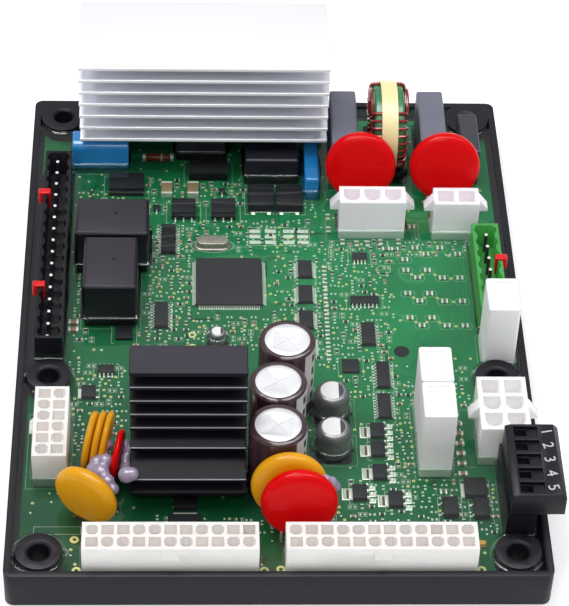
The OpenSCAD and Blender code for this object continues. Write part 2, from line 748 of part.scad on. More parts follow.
module plug_5_way() {
    z0 = board_top + header_floor + 1.8;
    z1 = board_top + plug_height + 1.2;
    color("#1c1c20") difference() {
        union() {
            block(header_5_at[0], header_5_at[1], z0, plug_width - 2 * plug_wall - 0.3,
                plug_length - 2 * plug_wall, z1 - z0);
            translate([plug_left, plug_middle - plug_length / 2, z1])
                rotate([90, 0, 0]) translate([0, 0, -plug_length]) linear_extrude(plug_length)
                polygon([[0, 0], [plug_top_width, 0], [plug_top_width, plug_top_height - 1.4],
                    [plug_top_width - 1.4, plug_top_height], [1.6, plug_top_height],
                    [0, plug_top_height - 0.5]]);
        }
        for (i = [0:header_5_at[2] - 1]) {
            y = plug_middle + (i - (header_5_at[2] - 1) / 2) * plug_pitch;
            block(plug_screw_x, y, z1 + plug_top_height - plug_opening_depth, plug_opening, plug_opening,
                plug_opening_depth + 1);
            translate([plug_left + 2.2, y, z1 + plug_top_height]) rotate([90, 0, 90]) linear_extrude(6.6)
                polygon([[plug_rib - plug_pitch / 2, 0.1], [plug_rib - plug_pitch / 2, 0],
                    [plug_pitch / 2 - plug_rib, -plug_recess], [plug_pitch / 2 - plug_rib, 0.1]]);
        }
    }
}

module plug_screws() {
    z = board_top + plug_height + 1.2 + plug_top_height - plug_opening_depth;
    color("#b9bcc0") for (i = [0:header_5_at[2] - 1])
        translate([plug_screw_x, plug_middle + (i - (header_5_at[2] - 1) / 2) * plug_pitch, z])
        difference() {
            cylinder(d = 2.6, h = 1.6);
            translate([-2, -0.3, 1]) cube([4, 0.6, 1]);
        }
}

module large_heat_sink() {
    z1 = board_top + large_sink_height;
    y0 = large_spine_back - large_spine;
    color("#c3c5cb") {
        block(large_sink_x, y0 + large_spine / 2, board_top, large_foot_length, large_spine, tray_height);
        block(large_sink_x, y0 + large_spine / 2, tray_height + 0.5, large_sink_length, large_spine,
            z1 - tray_height - 0.5);
        for (i = [0:large_fin_count - 1])
            translate([large_sink_x - large_sink_length / 2, y0 - large_front_fin,
                z1 - i * large_fin_pitch - large_fin_thickness])
            cube([large_sink_length, large_front_fin + large_spine + large_rear_fin, large_fin_thickness]);
    }
}

module small_heat_sink() {
    z1 = board_top + small_sink_height;
    color("#26262c") difference() {
        union() {
            block(small_sink_x, small_sink_back - small_spine / 2, board_top, small_sink_length,
                small_spine, small_sink_height);
            for (i = [0:7]) {
                depth = i < 5 ? small_upper_depth : i == 5 ? small_middle_depth : small_lower_depth;
                translate([small_sink_x - small_sink_length / 2, small_sink_back - depth,
                    z1 - i * small_fin_pitch - small_fin_thickness])
                cube([small_sink_length, depth - small_spine / 2, small_fin_thickness]);
            }
        }
        for (x = small_devices) translate([x, small_sink_back - small_spine + 1, board_top + device_screw])
            rotate([-90, 0, 0]) cylinder(d = screw_bore, h = 4);
    }
}

// Tab mounted devices on the back of the small heat sink, and clamped ones in front of the
// large heat sink's spine
clamp_lift = 3;

module power_devices() {
    y1 = large_spine_back - large_spine;
    color("#1b1b1e") {
        for (x = small_devices) block(x, small_sink_back + device_thickness / 2, board_top + device_lift,
            device_width, device_thickness, device_height);
        for (x = large_devices) block(x, y1 - device_thickness / 2, board_top + clamp_lift,
            device_width, device_thickness, device_height);
    }
}

module power_device_tabs() {
    color("#b5b8bc") for (x = small_devices) difference() {
        block(x, small_sink_back + device_tab / 2, board_top + device_lift + device_height, device_width,
            device_tab, 6.4);
        translate([x, small_sink_back - 1, board_top + device_screw]) rotate([-90, 0, 0])
            cylinder(d = screw_bore, h = 4);
    }
}

module sink_screws() {
    color("#b5b8bc") for (x = small_devices)
        translate([x, small_sink_back + device_tab, board_top + device_screw]) rotate([-90, 0, 0])
        difference() {
            union() {
                translate([0, 0, -3.7]) cylinder(d = screw_bore, h = 4);
                cylinder(d = 5.6, h = 2.2);
            }
            translate([-2.2, -0.4, 1.2]) cube([4.4, 0.8, 2]);
        }
}

module relay(p) {
    translate([p[0], p[1], 0]) rotate([0, 0, p[2]]) {
        capped_block(0, 0, board_top + 2, relay_length, relay_width, relay_height - 2, 0.7);
        cut_corner_block(0, 0, board_top, relay_length - 0.5, relay_width - 0.5, 2, 0.5);
    }
}

module relay_1() {
    color("#23232a") relay(relay_1_at);
}

module relay_2() {
    color("#23232a") relay(relay_2_at);
}

module cement_case(p) {
    difference() {
        cut_corner_block(p[0], p[1], board_top, cement_width, cement_length, cement_height, 0.5);
        block(p[0], p[1], board_top + cement_height - 1.2, cement_width - 2 * cement_wall,
            cement_length - 2 * cement_wall, 2);
    }
}

module cement_resistors() {
    color("#e6e4de") for (p = [cement_rear_at, cement_front_at, cement_right_at]) cement_case(p);
}

module cement_fills() {
    color("#cfcbc0") for (p = [cement_rear_at, cement_front_at, cement_right_at])
        block(p[0], p[1], board_top + cement_height - 1.2, cement_width - 2 * cement_wall,
            cement_length - 2 * cement_wall, 0.8);
}

module tall_can_sleeves() {
    r = tall_can_diameter / 2;
    t = sleeve_thickness;
    h = tall_can_height;
    color("#4a2e2c") for (p = tall_cans) translate([p[0], p[1], board_top])
        rotate_extrude() polygon([[r - t, 0], [r, 0], [r, h - 0.7], [r - 0.5, h], [r - 1.6, h],
            [r - 1.6, h - t], [r - t, h - t - 0.5]]);
}

module tall_can_bodies() {
    r = tall_can_diameter / 2 - sleeve_thickness;
    h = tall_can_height - sleeve_thickness;
    color("#cfd1d4") for (p = tall_cans) translate([p[0], p[1], board_top]) difference() {
        rotate_extrude() polygon([[0, 0], [r, 0], [r, h - 0.5], [r - 1.3, h], [0, h]]);
        for (a = [0, 90]) rotate([0, 0, a + 35]) translate([-5, -0.2, h - 0.3]) cube([10, 0.4, 1]);
    }
}

module low_can_shape(p, d, h) {
    r = d / 2;
    translate([p[0], p[1], board_top + 1.4]) rotate_extrude()
        polygon([[0, 0], [r, 0], [r, 0.5], [r - 0.4, 0.9], [r, 1.3], [r, h - 1.9], [r - 0.5, h - 1.4],
            [0, h - 1.4]]);
}

module low_can_bodies() {
    color("#cfd1d4") {
        for (p = low_cans) low_can_shape(p, low_can_diameter, low_can_height);
        low_can_shape(tiny_can, tiny_can_diameter, tiny_can_height);
    }
}

module can_base(p, side) {
    cut_corner_block(p[0], p[1], board_top + 0.2, side, side, 1.2, 0.8);
    for (s = [-1, 1]) block(p[0] + s * side * 0.42, p[1], board_top, side * 0.36, 0.9, 0.4);
}

module low_can_bases() {
    color("#1b1b1e") {
        for (p = low_cans) can_base(p, low_can_diameter + 0.3);
        can_base(tiny_can, tiny_can_diameter + 0.3);
    }
}

module film_box(x, y, w, l, h) {
    capped_block(x, y, board_top, w, l, h, 0.5);
}

module grey_film_capacitors() {
    color("#7d8088") for (p = grey_films)
        film_box(p[0], p[1], grey_film_width, grey_film_length, grey_film_height);
}

module dark_film_capacitor() {
    color("#3a3c42") film_box(dark_film_at[0], dark_film_at[1], dark_film_size[0], dark_film_size[1],
        dark_film_height);
}

module blue_shape(x, y, z, w, l, h, r) {
    translate([x, y, z]) rotate([90, 0, 90]) linear_extrude(w, center = true) union() {
        square([l - 2 * r, h], center = true);
        square([l, h - 2 * r], center = true);
        for (a = [-1, 1], b = [-1, 1]) translate([a * (l / 2 - r), b * (h / 2 - r)]) circle(r);
    }
}

module blue_capacitors() {
    color("#2a7fc0") {
        blue_shape(blue_film_at[0], blue_film_at[1], board_top + blue_film_height / 2, blue_film_length,
            blue_film_width, blue_film_height, 3);
        film_box(slim_film_at[0], slim_film_at[1], slim_film_size[0], slim_film_size[1], slim_film_height);
    }
}

module black_modules() {
    color("#1f2024") for (b = black_blocks) capped_block(b[0], b[1], board_top, b[2], b[3], b[4], 0.6);
}

module disc(d) {
    r = d[3] / 2;
    e = min(d[4] * 0.3, 1.2);
    translate([d[0], d[1], d[2]]) rotate([0, 0, d[6]]) rotate([90 - d[5], 0, 0])
        translate([0, 0, -d[4] / 2]) rotate_extrude()
        polygon([[0, 0], [r - 2.2 * e, 0], [r - 0.8 * e, e * 0.35], [r - 0.2 * e, e * 0.9], [r, e * 1.6],
            [r, d[4] - e * 1.6], [r - 0.2 * e, d[4] - e * 0.9], [r - 0.8 * e, d[4] - e * 0.35],
            [r - 2.2 * e, d[4]], [0, d[4]]]);
}

module varistors_back() {
    color("#d3121c") for (i = [0, 1]) disc(red_discs[i]);
}

module varistors_yellow() {
    color("#e8c21e") for (d = yellow_discs) disc(d);
}

module thin_discs_yellow() {
    color("#e8c21e") for (d = thin_yellow) disc(d);
}

module discs_front_red() {
    color("#d3121c") {
        disc(red_discs[2]);
        disc(thin_red[0]);
    }
}

// Wire leads, trimmed flush with the board's underside
module component_leads() {
    color("#c8c8c4") difference() {
        union() {
            for (p = power_leads) rod(p[0], p[1], board_level, p[2],
                board_thickness + (p[1] > 0 ? clamp_lift : device_lift));
            for (p = concat(disc_leads, choke_leads)) rod(p[0], p[1], board_level, p[2], 9);
        }
        for (d = all_discs) translate([d[0], d[1], d[2]]) rotate([0, 0, d[6]]) rotate([90 - d[5], 0, 0])
            translate([0, 0, -d[4] / 2 - 3]) cylinder(d = d[3], h = d[4] + 6);
        translate(choke_at) rotate([0, 90, 0]) translate([0, 0, -10])
            cylinder(r = core_diameter / 2 + choke_wire + 0.4, h = 20);
    }
}

module glue_beads() {
    color("#d9d6cc") for (p = places([[15.6, -62, 2.6], [-42.4, -48.6, 1.5], [-42.4, -68, 1.5]]))
        translate([p[0], p[1], potting_level]) difference() {
            translate([0, 0, -p[2] * 0.25]) sphere(p[2]);
            translate([-4, -4, -8]) cube([8, 8, 8]);
        }
}

module choke_core() {
    translate(choke_at) rotate([0, 90, 0]) color("#2f7d4f") translate([0, 0, -core_width / 2])
        rotate_extrude() polygon([
            [core_hole / 2 + 0.6, 0], [core_diameter / 2 - 0.6, 0], [core_diameter / 2, 0.6],
            [core_diameter / 2, core_width - 0.6], [core_diameter / 2 - 0.6, core_width],
            [core_hole / 2 + 0.6, core_width], [core_hole / 2, core_width - 0.6], [core_hole / 2, 0.6]]);
}

// One turn of wire round the core's section
module choke_turn(a) {
    depth = (core_diameter - core_hole) / 2;
    translate(choke_at) rotate([a, 0, 0]) translate([0, 0, core_hole / 2 + depth / 2])
        rotate([90, 0, 0]) linear_extrude(choke_wire, center = true) difference() {
            square([core_width + 2 * choke_wire, depth + 2 * choke_wire], center = true);
            square([core_width + 0.1, depth + 0.1], center = true);
        }
}

module choke_windings() {
    color("#7a1c1c") for (side = [-1, 1], i = [0:choke_turns - 1])
        choke_turn(side * (34 + i * 128 / choke_turns));
}

module choke_tape() {
    r = core_diameter / 2 + choke_wire + 0.05;
    translate(choke_at) rotate([0, 90, 0]) color("#e9d98a") translate([0, 0, -tape_width / 2]) difference() {
        cylinder(r = r + 0.3, h = tape_width);
        translate([0, 0, -1]) cylinder(r = r, h = tape_width + 2);
    }
}

module choke_base() {
    color("#1b1b1e") difference() {
        block(choke_at[0], choke_at[1], board_top, choke_base_size[0], choke_base_size[1],
            choke_base_size[2]);
        translate(choke_at) rotate([0, 90, 0]) translate([0, 0, -10])
            cylinder(r = core_diameter / 2 + choke_wire + 0.4, h = 20);
        for (p = choke_leads) rod(p[0], p[1], 0, p[2], 30);
    }
}

module microcontroller() {
    color("#3b3b40") cut_corner_block(micro_at[0], micro_at[1], board_top + 0.1, micro_side, micro_side,
        micro_thickness, 0.6);
}

module microcontroller_leads() {
    step = (micro_side - 2) / (micro_leads - 1);
    color("#c8c8c4") translate([micro_at[0], micro_at[1], board_top]) for (a = [0:90:270], i = [0:micro_leads - 1])
        rotate([0, 0, a]) translate([micro_side / 2, (i - (micro_leads - 1) / 2) * step - 0.1, 0])
        cube([1, 0.2, 0.5]);
}

module crystal() {
    color("#b9b3a2") translate([crystal_at[0], crystal_at[1], board_top]) {
        for (s = [[crystal_size[0] / 2, crystal_size[1] / 2, crystal_base, 0], [4.9, 2, crystal_can, crystal_base]])
            translate([0, 0, s[3]]) {
            block(0, 0, 0, 2 * (s[0] - s[1]), 2 * s[1], s[2]);
            for (x = [-1, 1]) rod(x * (s[0] - s[1]), 0, 0, 2 * s[1], s[2]);
        }
    }
}

module chip_bodies() {
    color("#2b2b30") for (c = chips)
        translate([c[0], c[1], board_top + 0.15]) rotate([0, 0, c[7]])
        block(0, 0, 0, c[2], c[3], c[4] - 0.15);
    color("#2b2b30") for (c = flat_chips) block(c[0], c[1], board_top, c[2], c[3], c[4]);
}

module chip_leads() {
    color("#c8c8c4") for (c = chips) translate([c[0], c[1], board_top]) rotate([0, 0, c[7]])
        for (side = [-1, 1], i = [0:c[5] - 1])
            block(side * (c[2] / 2 + 0.5), (i - (c[5] - 1) / 2) * c[6], 0, 1, 0.4, 0.7);
}

module power_chip_bodies() {
    color("#2b2b30") for (c = power_chips) translate([c[0], c[1], board_top]) rotate([0, 0, c[5]])
        block(0, 0, 0.3, on_side(c[5]) ? c[3] : c[2], on_side(c[5]) ? c[2] : c[3], c[4] - 0.3);
}

module power_chip_tabs() {
    color("#c8c8c4") for (c = power_chips) translate([c[0], c[1], board_top]) rotate([0, 0, c[5]]) {
        w = on_side(c[5]) ? c[3] : c[2];
        l = on_side(c[5]) ? c[2] : c[3];
        block(0.5, 0, 0, w + 1, l * 0.8, 0.3);
        for (s = [-1, 1]) block(-w / 2 - 0.5, s * l * 0.3, 0, 1, l * 0.14, 0.3);
    }
}

diode_diameter = 2.6;

module diode_part(x, length) {
    translate([diode_at[0] + x, diode_at[1], board_top + diode_diameter / 2]) rotate([0, 90, 0])
        cylinder(d = diode_diameter, h = length);
}

module axial_diode() {
    color("#7c2f22") diode_part(-3.2, 7.6);
}

module axial_diode_ends() {
    color("#c8c8c4") for (x = [-4.4, 4.4]) diode_part(x, 1.2);
}

module chip_resistors() {
    color("#26262a") for (p = resistors) translate([p[0], p[1], board_top]) rotate([0, 0, p[2]])
        block(0, 0, 0, 1.3, 1.6, 0.55);
}

module chip_capacitors() {
    color("#a8764c") for (c = capacitors) block(c[0], c[1], board_top, c[2], c[3], c[4]);
}

module lamp_shape() {
    translate([lamp_at[0], lamp_at[1], board_top]) {
        block(0, 0, 0, 3, 1.6, 0.6);
        block(0, 0, 0.6, 2, 1.4, 0.8);
    }
}

module indicator_lamp() {
    color("#e0a030") lamp_shape();
}

// The resin fills the tray round everything that stands on the board
module potting_resin() {
    tall = potting_level - board_top + 1;
    color([0.55, 0.62, 0.58, 0.35]) difference() {
        union() {
            block(0, 0, tray_floor, tray_width - 2 * tray_wall, tray_length - 2 * tray_wall,
                board_level - tray_floor);
            difference() {
                block(0, 0, board_level, tray_width - 2 * tray_wall, tray_length - 2 * tray_wall,
                    potting_level - board_level);
                block(0, 0, board_level, board_width, board_length, board_thickness);
            }
        }
        boss_bodies(0);
        boss_shoulders(0);
        for (s = standing) block(s[0], s[1], board_top, s[2], s[3], s[4]);
        for (h = [header_22_at, header_24_at, header_12_at])
            translate([h[0], h[1], 0]) rotate([0, 0, h[4]]) block(0, 0, board_top,
                h[2] * fine_pitch + 2 * fine_end_wall, h[3] * fine_pitch + 2 * fine_end_wall, tall);
        for (h = [header_6_at, header_3_at, header_2_at])
            translate([h[0], h[1], 0]) rotate([0, 0, h[4]]) block(0, 0, board_top,
                h[2] * coarse_pitch + 2 * coarse_end_wall, h[3] * coarse_pitch + 2 * coarse_end_wall, tall);
        for (h = [header_16_at, header_7_at, header_5_at])
            block(h[0], h[1], board_top, plug_width, h[2] * plug_pitch + 2 * plug_end_wall, tall);
        block(large_sink_x, large_spine_back - large_spine / 2, board_top, large_foot_length, large_spine,
            tall);
        for (x = large_devices) block(x, large_spine_back - large_spine - device_thickness / 2,
            board_top + clamp_lift, device_width, device_thickness, tall);
        block(small_sink_x, small_sink_back - small_spine / 2, board_top, small_sink_length, small_spine,
            tall);
        block(small_sink_x, small_sink_back - small_lower_depth / 2,
            board_top + small_sink_height - 7 * small_fin_pitch - small_fin_thickness,
            small_sink_length, small_lower_depth, tall);
        for (p = tall_cans) rod(p[0], p[1], board_top, tall_can_diameter, tall);
        for (p = low_cans) block(p[0], p[1], board_top, low_can_diameter + 2.4, low_can_diameter + 0.3, tall);
        block(tiny_can[0], tiny_can[1], board_top, tiny_can_diameter + 1.6, tiny_can_diameter + 0.3, tall);
        block(blue_film_at[0], blue_film_at[1], board_top, blue_film_length, blue_film_width, tall);
        for (p = concat(disc_leads, power_leads, choke_leads)) rod(p[0], p[1], board_top, p[2], tall);
        for (d = all_discs) translate([d[0], d[1], d[2]]) rotate([0, 0, d[6]]) rotate([90 - d[5], 0, 0])
            translate([0, 0, -d[4] / 2]) cylinder(d = d[3], h = d[4]);
        block(choke_at[0], choke_at[1], board_top, choke_base_size[0], choke_base_size[1], tall);
        translate(choke_at) rotate([0, 90, 0]) translate([0, 0, -core_width / 2 - choke_wire])
            cylinder(r = core_diameter / 2 + choke_wire + 0.4, h = core_width + 2 * choke_wire);
        block(micro_at[0], micro_at[1], board_top, micro_side + 2, micro_side + 2, micro_thickness + 0.1);
        block(crystal_at[0], crystal_at[1], board_top, crystal_size[0], crystal_size[1],
            crystal_base + crystal_can);
        for (c = chips) translate([c[0], c[1], 0]) rotate([0, 0, c[7]])
            block(0, 0, board_top, c[2] + 2, c[3], c[4]);
        for (c = power_chips) translate([c[0], c[1], 0]) rotate([0, 0, c[5]])
            block(0, 0, board_top, (on_side(c[5]) ? c[3] : c[2]) + 2, on_side(c[5]) ? c[2] : c[3], c[4]);
        for (p = resistors) translate([p[0], p[1], board_top]) rotate([0, 0, p[2]])
            block(0, 0, 0, 1.3, 1.6, 0.55);
        diode_part(-4.4, 10);
        lamp_shape();
    }
}

tray();
circuit_board();
potting_resin();
large_heat_sink();
small_heat_sink();
power_devices();
power_device_tabs();
sink_screws();
component_leads();
header_22_way();
header_24_way();
header_12_way();
fine_header_pins();
header_6_way();
header_3_way();
header_2_way();
coarse_header_pins();
header_16_way();
header_7_way();
header_5_way();
pluggable_header_pins();
coding_keys();
plug_5_way();
plug_screws();
relay_1();
relay_2();
cement_resistors();
cement_fills();
tall_can_sleeves();
tall_can_bodies();
low_can_bodies();
low_can_bases();
grey_film_capacitors();
dark_film_capacitor();
blue_capacitors();
black_modules();
varistors_back();
varistors_yellow();
discs_front_red();
thin_discs_yellow();
glue_beads();
choke_core();
choke_windings();
choke_tape();
choke_base();
microcontroller();
microcontroller_leads();
crystal();
chip_bodies();
chip_leads();
power_chip_bodies();
power_chip_tabs();
axial_diode();
axial_diode_ends();
chip_resistors();
chip_capacitors();
indicator_lamp();
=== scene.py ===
import math
import random

import bmesh
import bpy
import numpy as np
from bpy.props import FloatProperty, FloatVectorProperty, IntProperty, PointerProperty
from mathutils import Matrix, Vector


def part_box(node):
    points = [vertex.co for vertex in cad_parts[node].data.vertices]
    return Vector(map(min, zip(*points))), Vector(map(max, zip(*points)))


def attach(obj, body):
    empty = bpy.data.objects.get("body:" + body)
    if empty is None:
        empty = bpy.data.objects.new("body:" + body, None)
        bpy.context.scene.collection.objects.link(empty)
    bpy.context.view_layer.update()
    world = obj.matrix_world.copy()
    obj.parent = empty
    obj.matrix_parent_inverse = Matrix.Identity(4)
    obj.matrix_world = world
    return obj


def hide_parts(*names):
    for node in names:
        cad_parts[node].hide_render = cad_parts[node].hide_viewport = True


bl_info = {
    "name": "Generator control board",
    "version": (1, 0, 0),
    "blender": (4, 5, 0),
    "location": "View3D > Sidebar > Board",
    "description": "Dresses the packed generator control board and sets its stage",
    "category": "Object",
}

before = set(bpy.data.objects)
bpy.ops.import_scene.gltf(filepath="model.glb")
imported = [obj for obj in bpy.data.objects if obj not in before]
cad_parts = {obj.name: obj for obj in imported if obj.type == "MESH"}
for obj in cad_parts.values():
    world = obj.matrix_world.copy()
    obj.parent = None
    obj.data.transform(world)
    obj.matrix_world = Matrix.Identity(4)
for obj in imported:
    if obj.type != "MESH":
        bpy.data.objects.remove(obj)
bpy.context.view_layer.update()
MM = 0.001


def box_of(node):
    """The lowest and highest corner of a CAD node, in millimetres."""
    return [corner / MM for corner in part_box(node)]


# Levels in millimetres above the tray's underside
BOARD_TOP = box_of("circuit_board")[1].z
RESIN_TOP = box_of("potting_resin")[1].z
PRINT_LEVEL = BOARD_TOP + 0.02
HOLE_LEVEL = BOARD_TOP + 0.01
RESIN_FOOT = BOARD_TOP + 0.01

# Open hole of the board: centre and radius
BOARD_HOLE = (38.2, -9.6, 2.3)

# Screw bosses of the tray: x, y and radius
BOSSES = [(x, y, r) for x in (-64.8, 64.8) for y, r in ((-89.6, 6.35), (-23.9, 6.35), (90.9, 7.0))]

# How far small parts and tracks may lie from the middle of the board, along X and Y
BOARD_REACH = (69.5, 94)
TRACK_REACH = (69.8, 94.2)

# Coarse headers: pitch, end wall, and how many poles lie across the tray between their ears
COARSE_PITCH = 6.35
COARSE_WALL = 0.6
EARED = {"header_3_way": 3, "header_2_way": 2, "header_6_way": 2}

# The fine headers' latch strip stands out this far from their body
LATCH_DEPTH = 1.2

# All headers by their number of poles, and the pitch of the five way plug
HEADERS = ["header_%d_way" % poles for poles in (22, 24, 12, 6, 3, 2, 16, 7, 5)]
PLUG_PITCH = 5.08

# Busy and quiet ground: x and y limits and how many small parts lie there
CLUSTERS = [
    (-37, -1, -24, 43, 110), (-25, -9, 1, 4.5, 46), (1, -12, 9, 37, 22), (13.6, -16, 19.4, 36, 46),
    (19.5, -28, 37, 37, 84), (34.5, -66, 41, -22, 74), (20, -78, 62, -60, 60), (-61, -50, -43, -15, 74),
    (-58.5, -6, -53, 42, 22), (-34, -80, 60, -74, 40), (48.5, -46, 57, -16, 34), (-30, 34, 12, 47, 44),
    (-40, 52, 14, 66, 34), (-60, 46, -44, 60, 16), (18, 32, 62, 39, 26), (-41, -12, -24, 0, 30),
]


def colour(name, what, default):
    return FloatVectorProperty(name=name, description="Colour of the " + what, subtype="COLOR", size=3,
                               default=default, min=0, max=1)


def power(name, what, default, most):
    return FloatProperty(name=name, description="Power of the " + what, unit="POWER", default=default,
                         min=0, max=most)


def length(name, what, default, least, most):
    return FloatProperty(name=name, description=what + ", in mm", default=default, min=least, max=most)


class BoardSizes(bpy.types.PropertyGroup):
    edge_round: length("Edge rounding", "Rounding of moulded edges", 0.25, 0.05, 0.6)
    resin_step: length("Resin grid", "Spacing of the resin surface's points", 0.62, 0.5, 2.0)
    meniscus_height: length("Meniscus height", "Rise of the resin against what it meets", 0.12, 0.0, 2.0)
    meniscus_reach: length("Meniscus reach", "Width of the resin's rise", 0.8, 0.2, 3.0)
    via_count: IntProperty(name="Vias", description="Number of plated holes in the board", default=620,
                           min=0, max=2000)
    track_count: IntProperty(name="Tracks", description="Number of tracks drawn on the board", default=420,
                             min=0, max=1500)
    wire_diameter: length("Choke wire", "Diameter of the choke's wire", 1.0, 0.5, 1.2)
    lens: FloatProperty(name="Lens", description="Focal length of the camera", unit="CAMERA", default=146.9,
                        min=50, max=300)
    key_power: power("Key light", "main light, which the right and front lights follow", 4.6, 60)
    panel_power: power("Back panel", "panel that the tops reflect", 0.7, 20)
    glow_power: power("Glow panel", "panel that only reflections show", 15, 100)
    world_level: FloatProperty(name="Surround", description="Brightness of the white surround", default=0.52,
                               min=0, max=3)


class BoardColours(bpy.types.PropertyGroup):
    tray: colour("Tray", "tray", (0.0105, 0.0092, 0.0150))
    mask: colour("Solder mask", "board", (0.008, 0.240, 0.082))
    track: colour("Tracks", "covered tracks", (0.018, 0.315, 0.118))
    nylon: colour("White nylon", "white headers", (0.86, 0.84, 0.81))
    disc_red: colour("Red discs", "red discs", (0.70, 0.0008, 0.002))
    disc_yellow: colour("Yellow discs", "yellow discs", (0.76, 0.34, 0.005))
    film_blue: colour("Blue capacitors", "blue capacitors", (0.014, 0.23, 0.58))


# Materials

